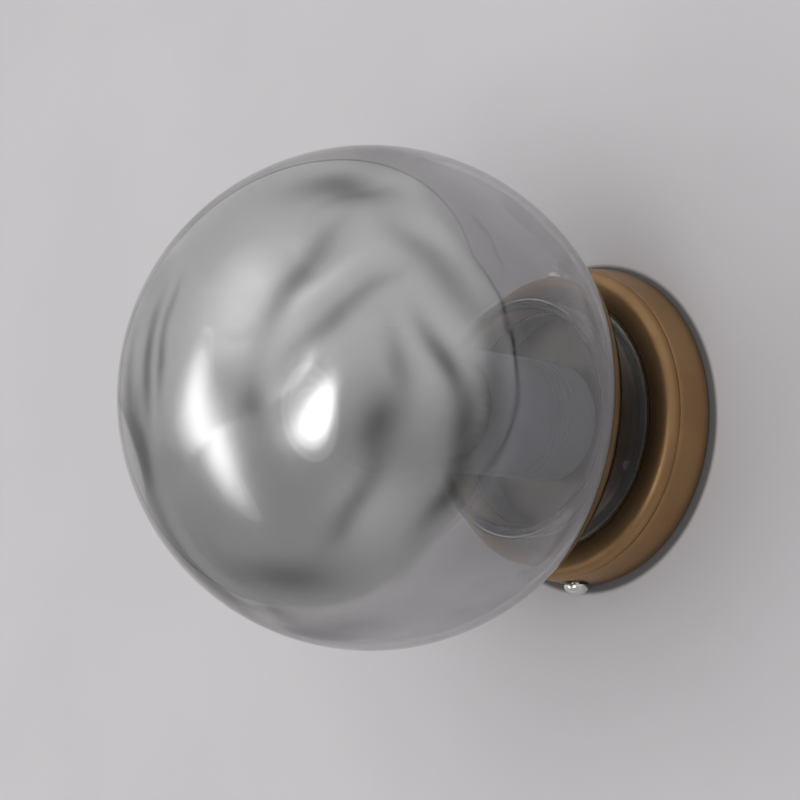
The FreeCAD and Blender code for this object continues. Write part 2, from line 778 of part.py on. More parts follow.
def lamp_cap():
    """Screw cap of the lamp; its thread is rolled in thin sheet."""
    cap_r = lamp_cap_d / 2.0
    inner_r = cap_r - shell_sheet
    neck_r = lamp_insulator_d / 2.0
    slope = cap_r - neck_r
    return turned(
        (0.0, lamp_cap_reach),
        (neck_r, lamp_cap_reach),
        (cap_r, lamp_cap_reach + slope),
        (cap_r, lamp_skirt_reach),
        (inner_r, lamp_skirt_reach),
        (inner_r, lamp_cap_reach + slope + shell_sheet),
        (neck_r - shell_sheet, lamp_cap_reach + shell_sheet),
        (0.0, lamp_cap_reach + shell_sheet),
    )


def lamp_skirt():
    """Flared plastic housing of the lamp's driver."""
    root_r = lamp_skirt_root_d / 2.0
    middle_reach = (lamp_skirt_reach + lamp_seam_reach) / 2.0
    middle_r = (root_r + lamp_seam_r) / 2.0 - lamp_skirt_hollow
    return turned(
        (0.0, lamp_skirt_reach),
        (root_r, lamp_skirt_reach),
        ((middle_r, middle_reach), (lamp_seam_r, lamp_seam_reach)),
        (lamp_seam_r - lamp_wall, lamp_seam_reach),
        ((middle_r - lamp_wall, middle_reach), (root_r - lamp_wall, lamp_skirt_reach + lamp_wall)),
        (0.0, lamp_skirt_reach + lamp_wall),
    )


def lamp_ball():
    """Opal globe of the lamp."""
    centre = (0.0, lamp_ball_reach)
    inner_r = lamp_ball_r - lamp_wall
    below = lamp_ball_reach - lamp_seam_reach
    start = -math.degrees(math.asin(below / lamp_ball_r))
    inner_start = -math.degrees(math.asin(below / inner_r))
    return turned(
        (0.0, lamp_ball_reach + lamp_ball_r),
        (on_arc(centre, lamp_ball_r, (POLE + start) / 2.0), (lamp_seam_r, lamp_seam_reach)),
        on_arc(centre, inner_r, inner_start),
        (on_arc(centre, inner_r, (POLE + inner_start) / 2.0), (0.0, lamp_ball_reach + inner_r)),
    )


PARTS = {
    "wall_bracket": wall_bracket,
    "dish": dish,
    "dish_screws": dish_screws,
    "gallery": gallery,
    "neck_gasket": neck_gasket,
    "globe": globe,
    "nipple": nipple,
    "nipple_washer": nipple_washer,
    "nipple_nut": nipple_nut,
    "holder_cap": holder_cap,
    "holder_body": holder_body,
    "holder_insert": holder_insert,
    "holder_shell": holder_shell,
    "centre_contact": centre_contact,
    "holder_terminal_screws": holder_terminal_screws,
    "terminal_block": terminal_block,
    "terminal_inserts": terminal_inserts,
    "terminal_screws": terminal_screws,
    "block_screw": block_screw,
    "live_lead": lambda: mains_lead("live lead", 1, 2),
    "neutral_lead": lambda: mains_lead("neutral lead", -1, 1),
    "earth_lead": earth_lead,
    "earth_tag": earth_tag,
    "earth_screw": earth_screw,
    "lamp_contact": lamp_contact,
    "lamp_insulator": lamp_insulator,
    "lamp_cap": lamp_cap,
    "lamp_skirt": lamp_skirt,
    "lamp_ball": lamp_ball,
}

os.makedirs("parts", exist_ok=True)
for name, make in PARTS.items():
    shape = make()
    print(name, "solids", len(shape.Solids), "volume", round(shape.Volume, 1),
          "valid", shape.isValid())
    shape.exportStep(os.path.join("parts", name + ".step"))
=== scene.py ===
import json
import logging
import math
from dataclasses import dataclass, field
from enum import Enum
from typing import Iterable, Optional

import bmesh
import bpy
from mathutils import Matrix, Vector, noise

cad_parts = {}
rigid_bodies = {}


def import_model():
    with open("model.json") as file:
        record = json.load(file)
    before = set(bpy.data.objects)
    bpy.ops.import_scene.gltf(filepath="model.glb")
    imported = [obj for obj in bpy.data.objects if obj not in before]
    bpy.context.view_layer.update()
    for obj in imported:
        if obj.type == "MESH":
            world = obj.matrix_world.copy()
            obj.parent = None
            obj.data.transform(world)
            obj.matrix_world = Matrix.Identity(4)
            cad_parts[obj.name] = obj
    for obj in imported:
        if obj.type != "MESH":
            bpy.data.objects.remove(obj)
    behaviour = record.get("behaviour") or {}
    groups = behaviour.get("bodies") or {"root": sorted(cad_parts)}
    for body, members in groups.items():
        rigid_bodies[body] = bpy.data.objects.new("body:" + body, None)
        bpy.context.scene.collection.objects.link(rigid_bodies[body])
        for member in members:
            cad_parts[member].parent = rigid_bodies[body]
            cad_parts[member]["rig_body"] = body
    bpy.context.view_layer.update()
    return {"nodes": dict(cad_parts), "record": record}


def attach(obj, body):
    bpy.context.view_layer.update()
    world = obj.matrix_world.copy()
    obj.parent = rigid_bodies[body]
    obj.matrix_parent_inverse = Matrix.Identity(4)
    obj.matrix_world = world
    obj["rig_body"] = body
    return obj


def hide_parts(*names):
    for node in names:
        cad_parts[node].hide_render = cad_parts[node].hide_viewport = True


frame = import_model()

# A globe wall sconce.  The wall is the plane Y = 0, the sconce stands out along -Y
# and +Z is up.  A "reach" is a distance out from the wall.  Sizes are millimetres,
# and MM turns them into metres where a mesh is made.

MM = 0.001
OUT = Vector((0.0, -1.0, 0.0))
UP = Vector((0.0, 0.0, 1.0))
ORIGIN = Vector((0.0, 0.0, 0.0))
FULL_TURN = 2.0 * math.pi
ROLLED_PITCH = 25.4 / 7.0

log = logging.getLogger("sconce")

Place = tuple[float, float]
Outline = list[Place]
Colour = tuple[float, float, float]
Shape = bmesh.types.BMesh
Piece = bpy.types.Object
Material = bpy.types.Material
Tree = bpy.types.NodeTree
Node = bpy.types.Node
Socket = bpy.types.NodeSocket


class Body(Enum):
    """The rigid bodies that a piece can ride on."""

    FIXTURE = "fixture"
    GLOBE = "globe"
    LAMP = "lamp"
    LAMP_SEAT = "lamp_seat"


# ---- meshes ----------------------------------------------------------------------


def on_arc(centre: Place, radius: float, degrees: float) -> Place:
    """Give a point on an arc of an outline.

    Args:
        centre: The arc's centre, as radius off the axis and reach.
        radius: The arc's radius.
        degrees: 0 points away from the axis, 90 points out from the wall.

    Returns:
        The point, as radius off the axis and reach.
    """
    turn = math.radians(degrees)
    return centre[0] + radius * math.cos(turn), centre[1] + radius * math.sin(turn)


def arc(centre: Place, radius: float, start: float, end: float, steps: int) -> Outline:
    """Give the points of an arc of an outline, both ends included."""
    return [on_arc(centre, radius, start + (end - start) * step / steps)
            for step in range(steps + 1)]


def run(start: Place, end: Place, steps: int) -> Outline:
    """Give evenly spaced points of a straight stretch, both ends included."""
    return [(start[0] + (end[0] - start[0]) * step / steps,
             start[1] + (end[1] - start[1]) * step / steps) for step in range(steps + 1)]


@dataclass(frozen=True)
class Thread:
    """A right-hand screw thread that lifts a turned wall."""

    pitch: float
    height: float
    start_reach: float
    turns: float
    foot: float
    crest: float
    start_turn: float = 0.0
    run_out: float = 20.0

    def lift(self, turn: float, reach: float) -> float:
        """Give the thread's height at a place on the wall.

        Args:
            turn: Angle round the axis in degrees, from +X towards +Z.
            reach: Distance out from the wall.

        Returns:
            The height, from 0 to the thread's full height.
        """
        past = (turn - self.start_turn) % 360.0
        laps = round((reach - self.start_reach) / self.pitch - past / 360.0)
        along = laps * 360.0 + past
        if not 0.0 <= along <= self.turns * 360.0:
            return 0.0
        off = abs(reach - self.start_reach - self.pitch * along / 360.0)
        slope = (self.foot - off * 2.0) / (self.foot - self.crest)
        fade = min(1.0, along / self.run_out, (self.turns * 360.0 - along) / self.run_out)
        share = max(0.0, min(1.0, slope))
        return self.height * share * share * (3.0 - 2.0 * share) * fade


def cut_thread(bm: Shape, thread: Thread, radius: float, sign: float = 1.0,
               slack: float = 0.05) -> None:
    """Lift the thread on every vertex of a turned wall of the given radius.

    Args:
        bm: The mesh, turned about the sconce's axis.
        thread: The thread.
        radius: The wall's radius.
        sign: 1 to lift the wall outwards, -1 to lift it towards the axis.
        slack: How far from the radius a vertex may lie and still be of this wall.
    """
    for vertex in bm.verts:
        flat = math.hypot(vertex.co.x, vertex.co.z)
        if abs(flat - radius * MM) > slack * MM:
            continue
        turn = math.degrees(math.atan2(vertex.co.z, vertex.co.x))
        lifted = thread.lift(turn, -vertex.co.y / MM) * sign * MM
        vertex.co.x *= (flat + lifted) / flat
        vertex.co.z *= (flat + lifted) / flat


def spun(outline: Outline, closed: bool = True, steps: int = 160) -> Shape:
    """Turn an outline about the sconce's axis.

    Args:
        outline: Points as radius off the axis and reach.
        closed: Whether the last point joins the first.
        steps: Faces round the axis.

    Returns:
        The turned mesh, in metres, its normals pointing out.
    """
    bm = bmesh.new()
    verts = [bm.verts.new((radius * MM, -reach * MM, 0.0)) for radius, reach in outline]
    pairs = list(zip(verts, verts[1:]))
    if closed:
        pairs.append((verts[-1], verts[0]))
    edges = [bm.edges.new(pair) for pair in pairs]
    bmesh.ops.spin(bm, geom=verts + edges, cent=ORIGIN, axis=OUT, angle=FULL_TURN,
                   steps=steps, use_merge=True)
    bmesh.ops.remove_doubles(bm, verts=bm.verts, dist=1e-7)
    bmesh.ops.recalc_face_normals(bm, faces=bm.faces)
    return bm


def box(low: Vector, high: Vector) -> Shape:
    """Make a box between two corners given in millimetres.

    Args:
        low: The corner with the least values.
        high: The corner with the greatest.

    Returns:
        The box, in metres.
    """
    bm = bmesh.new()
    bmesh.ops.create_cube(bm, size=1.0)
    size = high - low
    bmesh.ops.scale(bm, vec=size * MM, verts=bm.verts)
    bmesh.ops.translate(bm, vec=(low + high) / 2.0 * MM, verts=bm.verts)
    return bm


def piece(name: str, bm: Shape, sharp: float = 35.0) -> Piece:
    """Make an object of a mesh and link it to the scene.

    Args:
        name: The object's name.
        bm: The mesh, which is freed.
        sharp: Edges over this angle, in degrees, stay crisp in the shading.

    Returns:
        The object, at the origin.
    """
    for face in bm.faces:
        face.smooth = True
    mesh = bpy.data.meshes.new(name)
    bm.to_mesh(mesh)
    bm.free()
    mesh.set_sharp_from_angle(angle=math.radians(sharp))
    made = bpy.data.objects.new(name, mesh)
    bpy.context.scene.collection.objects.link(made)
    return made


def joined(parts: Iterable[Shape]) -> Shape:
    """Put several meshes into one.

    Args:
        parts: The meshes, which are freed.

    Returns:
        The whole mesh.
    """
    whole = bmesh.new()
    for part in parts:
        mesh = bpy.data.meshes.new("part")
        part.to_mesh(mesh)
        part.free()
        whole.from_mesh(mesh)
        bpy.data.meshes.remove(mesh)
    return whole


def carve(made: Piece, cutter: Shape) -> None:
    """Cut one mesh out of an object's mesh.

    Args:
        made: The object that is cut.
        cutter: The mesh that is taken away, which is freed.
    """
    tool = piece("cutter", cutter)
    cut = made.modifiers.new("carve", "BOOLEAN")
    cut.operation = "DIFFERENCE"
    cut.solver = "EXACT"
    cut.object = tool
    graph = bpy.context.evaluated_depsgraph_get()
    mesh = bpy.data.meshes.new_from_object(made.evaluated_get(graph))
    made.modifiers.clear()
    old = made.data
    made.data = mesh
    mesh.name = made.name
    bpy.data.meshes.remove(old)
    bpy.data.objects.remove(tool)


def settle(made: Piece, material: Material, body: Body, slot: str,
           *nodes: str) -> Piece:
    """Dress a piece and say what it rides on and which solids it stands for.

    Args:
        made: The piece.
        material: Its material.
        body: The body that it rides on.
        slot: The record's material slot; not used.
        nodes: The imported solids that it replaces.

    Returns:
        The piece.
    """
    made.data.materials.append(material)
    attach(made, body.value)
    if nodes:
        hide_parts(*nodes)
    log.info("%s rides on %s", made.name, body.value)
    return made


# ---- shader building blocks --------------------------------------------------------


class Wiring:
    """Small helpers round one node tree."""

    def __init__(self, tree: Tree) -> None:
        """Keep the tree."""
        self.tree = tree

    def node(self, kind: str, **values: object) -> Node:
        """Add a node and set its properties.

        Args:
            kind: The node's type.
            values: Its properties by name.

        Returns:
            The node.
        """
        made = self.tree.nodes.new(kind)
        for name, value in values.items():
            setattr(made, name, value)
        return made

    def link(self, source: Socket, target: Socket) -> None:
        """Join two sockets."""
        self.tree.links.new(source, target)

    def noise(self, vector: Socket, scale: float, detail: float,
              distortion: float = 0.0) -> Socket:
        """Add a noise texture and give its value.

        Args:
            vector: Where it is read.
            scale: Its scale.
            detail: Its detail.
            distortion: Its distortion.

        Returns:
            The value, from 0 to 1.
        """
        made = self.node("ShaderNodeTexNoise")
        made.inputs["Scale"].default_value = scale
        made.inputs["Detail"].default_value = detail
        made.inputs["Distortion"].default_value = distortion
        self.link(vector, made.inputs["Vector"])
        return made.outputs["Fac"]

    def remap(self, value: Socket, low: float, high: float, to_low: float,
              to_high: float, smooth: bool = False) -> Socket:
        """Map a value from one range to another, clamped.

        Args:
            value: What is mapped.
            low: The value that gives to_low.
            high: The value that gives to_high.
            to_low: One end of the result.
            to_high: The other end.
            smooth: Whether it eases at both ends.

        Returns:
            The mapped value.
        """
        made = self.node("ShaderNodeMapRange")
        made.interpolation_type = "SMOOTHSTEP" if smooth else "LINEAR"
        self.link(value, made.inputs["Value"])
        for name, amount in (("From Min", low), ("From Max", high),
                             ("To Min", to_low), ("To Max", to_high)):
            made.inputs[name].default_value = amount
        return made.outputs["Result"]

    def maths(self, operation: str, first: object, second: object) -> Socket:
        """Add a Math node; each side is a socket or a number.

        Args:
            operation: What the node does.
            first: Its first value.
            second: Its second value.

        Returns:
            The node's value.
        """
        made = self.node("ShaderNodeMath", operation=operation)
        for index, side in enumerate((first, second)):
            if isinstance(side, Socket):
                self.link(side, made.inputs[index])
            else:
                made.inputs[index].default_value = side
        return made.outputs[0]

    def vector(self, operation: str, first: object, second: object = None) -> Socket:
        """Add a Vector Math node; each side is a socket or a vector.

        Args:
            operation: What the node does.
            first: Its first vector.
            second: Its second vector, if it has one.

        Returns:
            The node's vector.
        """
        made = self.node("ShaderNodeVectorMath", operation=operation)
        for index, side in enumerate((first, second)):
            if isinstance(side, Socket):
                self.link(side, made.inputs[index])
            elif side is not None:
                made.inputs[index].default_value = side
        return made.outputs["Vector"]

    def mix(self, share: Socket, first: object, second: object) -> Socket:
        """Mix two colours; each is a socket or three numbers.

        Args:
            share: How much of the second colour shows.
            first: One colour.
            second: The other.

        Returns:
            The mixed colour.
        """
        made = self.node("ShaderNodeMix", data_type="RGBA")
        self.link(share, made.inputs["Factor"])
        for name, side in (("A", first), ("B", second)):
            socket = next(s for s in made.inputs if s.name == name and s.type == "RGBA")
            if isinstance(side, Socket):
                self.link(side, socket)
            else:
                socket.default_value = (*side, 1.0)
        return next(s for s in made.outputs if s.type == "RGBA")

    def bump(self, height: Socket, distance: float,
             strength: float = 1.0) -> Socket:
        """Add a Bump node and give its normal.

        Args:
            height: The relief, from 0 to 1.
            distance: Its height in metres.
            strength: How much of it shows.

        Returns:
            The normal.
        """
        made = self.node("ShaderNodeBump")
        made.inputs["Distance"].default_value = distance
        made.inputs["Strength"].default_value = strength
        self.link(height, made.inputs["Height"])
        return made.outputs["Normal"]

    def place(self) -> Socket:
        """Give the piece's own coordinates, in metres."""
        return self.node("ShaderNodeTexCoord").outputs["Object"]

    def axes(self, vector: Socket) -> bpy.types.bpy_prop_collection:
        """Split a vector and give the sockets X, Y and Z.

        Args:
            vector: The vector.

        Returns:
            The three sockets by name.
        """
        made = self.node("ShaderNodeSeparateXYZ")
        self.link(vector, made.inputs[0])
        return made.outputs

    def length(self, vector: Socket) -> Socket:
        """Give a vector's length.

        Args:
            vector: The vector.

        Returns:
            The length.
        """
        made = self.node("ShaderNodeVectorMath", operation="LENGTH")
        self.link(vector, made.inputs[0])
        return made.outputs["Value"]

    def dot(self, first: Socket, second: Socket) -> Socket:
        """Give the dot product of two vectors.

        Args:
            first: One vector.
            second: The other.

        Returns:
            The product.
        """
        made = self.node("ShaderNodeVectorMath", operation="DOT_PRODUCT")
        self.link(first, made.inputs[0])
        self.link(second, made.inputs[1])
        return made.outputs["Value"]


def new_group(name: str, inputs: dict[str, tuple[str, object]],
              outputs: dict[str, str]) -> tuple[Tree, Node, Node]:
    """Make an empty node group.

    Args:
        name: The group's name.
        inputs: Socket names, each with its type and its value.
        outputs: Socket names, each with its type.

    Returns:
        The group, its input node and its output node.
    """
    group = bpy.data.node_groups.new(name, "ShaderNodeTree")
    for label, (kind, value) in inputs.items():
        socket = group.interface.new_socket(name=label, in_out="INPUT", socket_type=kind)
        if value is not None:
            socket.default_value = value
    for label, kind in outputs.items():
        group.interface.new_socket(name=label, in_out="OUTPUT", socket_type=kind)
    return group, group.nodes.new("NodeGroupInput"), group.nodes.new("NodeGroupOutput")


def new_material(name: str) -> tuple[Material, Wiring, Node]:
    """Make a material and give it with its wiring and its shader.

    Args:
        name: The material's name.

    Returns:
        The material, the helpers round its tree, and its shader.
    """
    material = bpy.data.materials.new(name)
    material.use_nodes = True
    tree = material.node_tree
    return material, Wiring(tree), tree.nodes["Principled BSDF"]


FLOAT = "NodeSocketFloat"
COLOUR = "NodeSocketColor"
VECTOR = "NodeSocketVector"


class SharedGroup:
    """A node group that is built once and placed in several materials."""

    _group: Optional[Tree] = None

    @classmethod
    def group(cls) -> Tree:
        """Build the group once and give it."""
        if cls._group is None:
            cls._group = cls._build()
        return cls._group

    @staticmethod
    def _build() -> Tree:
        """Lay out the group's nodes."""
        raise NotImplementedError


class Surface(SharedGroup):
    """The node group for what most finishes share: mottling, fine grain and dust."""

    @staticmethod
    def _build() -> Tree:
        """Lay out the group's nodes."""
        group, entry, leave = new_group(
            "surface_detail",
            {"Vector": (VECTOR, None), "Colour": (COLOUR, (0.5, 0.5, 0.5, 1.0)),
             "Shade": (COLOUR, (0.3, 0.3, 0.3, 1.0)), "Mottle Scale": (FLOAT, 40.0),
             "Mottle": (FLOAT, 0.3), "Grain Scale": (FLOAT, 900.0), "Grain": (FLOAT, 0.2),
             "Roughness": (FLOAT, 0.4), "Roughness Spread": (FLOAT, 0.08), "Dust": (FLOAT, 0.1)},
            {"Colour": COLOUR, "Roughness": FLOAT, "Height": FLOAT})
        wires = Wiring(group)
        broad = wires.node("ShaderNodeTexNoise")
        broad.inputs["Detail"].default_value = 4.0
        wires.link(entry.outputs["Vector"], broad.inputs["Vector"])
        wires.link(entry.outputs["Mottle Scale"], broad.inputs["Scale"])
        fine = wires.node("ShaderNodeTexNoise")
        fine.inputs["Detail"].default_value = 2.0
        wires.link(entry.outputs["Vector"], fine.inputs["Vector"])
        wires.link(entry.outputs["Grain Scale"], fine.inputs["Scale"])
        patches = wires.remap(broad.outputs["Fac"], 0.35, 0.65, 0.0, 1.0, smooth=True)
        grain = wires.remap(fine.outputs["Fac"], 0.3, 0.7, 0.0, 1.0)
        shade = wires.maths("ADD", wires.maths("MULTIPLY", patches, entry.outputs["Mottle"]),
                            wires.maths("MULTIPLY", grain, entry.outputs["Grain"]))
        tone = wires.mix(shade, entry.outputs["Colour"], entry.outputs["Shade"])
        upward = wires.axes(wires.node("ShaderNodeNewGeometry").outputs["Normal"])["Z"]
        lying = wires.remap(upward, 0.2, 1.0, 0.0, 1.0, smooth=True)
        specks = wires.remap(wires.maths("MULTIPLY", fine.outputs["Fac"], broad.outputs["Fac"]),
                             0.2, 0.42, 0.0, 1.0, smooth=True)
        dust = wires.maths("MULTIPLY", wires.maths("MULTIPLY", lying, specks),
                           entry.outputs["Dust"])
        dusty = wires.mix(dust, tone, (0.55, 0.53, 0.50))
        wires.link(dusty, leave.inputs["Colour"])
        spread = wires.maths("MULTIPLY", wires.maths("SUBTRACT", patches, 0.5),
                             entry.outputs["Roughness Spread"])
        rough = wires.maths("ADD", wires.maths("ADD", entry.outputs["Roughness"], spread),
                            wires.maths("MULTIPLY", dust, 0.5))
        wires.link(rough, leave.inputs["Roughness"])
        wires.link(fine.outputs["Fac"], leave.inputs["Height"])
        return group


@dataclass(frozen=True)
class Finish:
    """An opaque finish: its colour, its gloss and the detail it carries."""

    name: str
    colour: Colour
    shade: Colour
    metallic: float = 0.0
    roughness: float = 0.4
    spread: float = 0.08
    mottle_scale: float = 60.0
    mottle: float = 0.35
    grain_scale: float = 1500.0
    grain: float = 0.15
    relief: float = 0.00002
    dust: float = 0.08
    coat: float = 0.0
    glow_through: float = 0.0

    def build(self) -> Material:
        """Make the material."""
        material, wires, shader = new_material(self.name)
        shader.inputs["Metallic"].default_value = self.metallic
        shader.inputs["Coat Weight"].default_value = self.coat
        shader.inputs["Coat Roughness"].default_value = 0.12
        shader.inputs["Subsurface Weight"].default_value = self.glow_through
        shader.inputs["Subsurface Scale"].default_value = 0.004
        detail = wires.node("ShaderNodeGroup", node_tree=Surface.group())
        wires.link(wires.place(), detail.inputs["Vector"])
        detail.inputs["Colour"].default_value = (*self.colour, 1.0)
        detail.inputs["Shade"].default_value = (*self.shade, 1.0)
        for label, value in (("Mottle Scale", self.mottle_scale), ("Mottle", self.mottle),
                             ("Grain Scale", self.grain_scale), ("Grain", self.grain),
                             ("Roughness", self.roughness), ("Roughness Spread", self.spread),
                             ("Dust", self.dust)):
            detail.inputs[label].default_value = value
        wires.link(detail.outputs["Colour"], shader.inputs["Base Color"])
        wires.link(detail.outputs["Roughness"], shader.inputs["Roughness"])
        wires.link(wires.bump(detail.outputs["Height"], self.relief), shader.inputs["Normal"])
        return material


@dataclass(frozen=True)
class SmokeGlass:
    """Clear smoke-grey glass, blown a little unevenly."""

    name: str = "smoke_glass"
    tint: Colour = (0.845, 0.845, 0.848)
    deeper: Colour = (0.795, 0.795, 0.80)
    rim: Colour = (0.30, 0.29, 0.29)
    ior: float = 1.5
    ground_up_to: float = 17.2
    ground_fade: float = 0.4
    ground_roughness: float = 0.45

    def build(self) -> Material:
        """Make the material."""
        material, wires, shader = new_material(self.name)
        shader.inputs["Transmission Weight"].default_value = 1.0
        shader.inputs["Metallic"].default_value = 0.0
        shader.inputs["IOR"].default_value = self.ior
        place = wires.place()
        cloud = wires.remap(wires.noise(place, 22.0, 3.0), 0.35, 0.7, 0.0, 1.0, smooth=True)
        facing = wires.node("ShaderNodeLayerWeight")
        facing.inputs["Blend"].default_value = 0.5
        rim = wires.remap(facing.outputs["Facing"], 0.72, 0.98, 0.0, 1.0, smooth=True)
        clear = wires.mix(cloud, self.tint, self.deeper)
        wires.link(wires.mix(rim, clear, self.rim), shader.inputs["Base Color"])
        smear = wires.remap(wires.noise(place, 60.0, 4.0), 0.5, 0.8, 0.0, 0.03, smooth=True)
        ground = wires.remap(wires.axes(place)["Y"], -(self.ground_up_to + self.ground_fade) * MM,
                             -self.ground_up_to * MM, 0.0, self.ground_roughness, smooth=True)
        wires.link(wires.maths("ADD", smear, ground), shader.inputs["Roughness"])
        return material


class PaintedReflection(SharedGroup):
    """The node group for one painted reflection: a soft long patch on a ball, paler or deeper in
    tone than the rest.
    """

    @staticmethod
    def _build() -> Tree:
        """Lay out the group's nodes."""
        group, entry, leave = new_group(
            "plating_painted_reflection",
            {"Direction": (VECTOR, None), "Middle": (VECTOR, (1.0, 0.0, 0.0)),
             "Along": (VECTOR, (0.0, 0.0, 1.0)), "Long": (FLOAT, 0.3), "Wide": (FLOAT, 0.1),
             "Strength": (FLOAT, 1.0)},
            {"Mask": FLOAT})
        wires = Wiring(group)
        away = wires.vector("SUBTRACT", entry.outputs["Direction"], entry.outputs["Middle"])
        forward = wires.dot(away, entry.outputs["Along"])
        ahead = wires.maths("MULTIPLY", forward, forward)
        aside = wires.maths("SUBTRACT", wires.dot(away, away), ahead)
        long = wires.maths("MULTIPLY", entry.outputs["Long"], entry.outputs["Long"])
        wide = wires.maths("MULTIPLY", entry.outputs["Wide"], entry.outputs["Wide"])
        size = wires.maths("ADD", wires.maths("DIVIDE", ahead, long),
                           wires.maths("DIVIDE", aside, wide))
        fall = wires.maths("POWER", math.e, wires.maths("MULTIPLY", size, -1.0))
        wires.link(wires.maths("MULTIPLY", fall, entry.outputs["Strength"]), leave.inputs["Mask"])
        return group


@dataclass(frozen=True)
class Patch:
    """One painted reflection's place on the ball, as two directions from its middle, and its
    width.
    """

    start: tuple[float, float, float]
    end: tuple[float, float, float]
    wide: float
    strength: float

    def mask(self, wires: Wiring, direction: Socket) -> Socket:
        """Place the smear in a material and give its mask.

        Args:
            wires: The material's wiring.
            direction: The direction from the ball's middle.

        Returns:
            The mask, from 0 to the smear's strength.
        """
        first, last = Vector(self.start), Vector(self.end)
        node = wires.node("ShaderNodeGroup", node_tree=PaintedReflection.group())
        wires.link(direction, node.inputs["Direction"])
        node.inputs["Middle"].default_value = ((first + last) / 2.0).normalized()
        node.inputs["Along"].default_value = (last - first).normalized()
        node.inputs["Long"].default_value = max(self.wide, (last - first).length * 0.6)
        node.inputs["Wide"].default_value = self.wide
        node.inputs["Strength"].default_value = self.strength
        return node.outputs["Mask"]


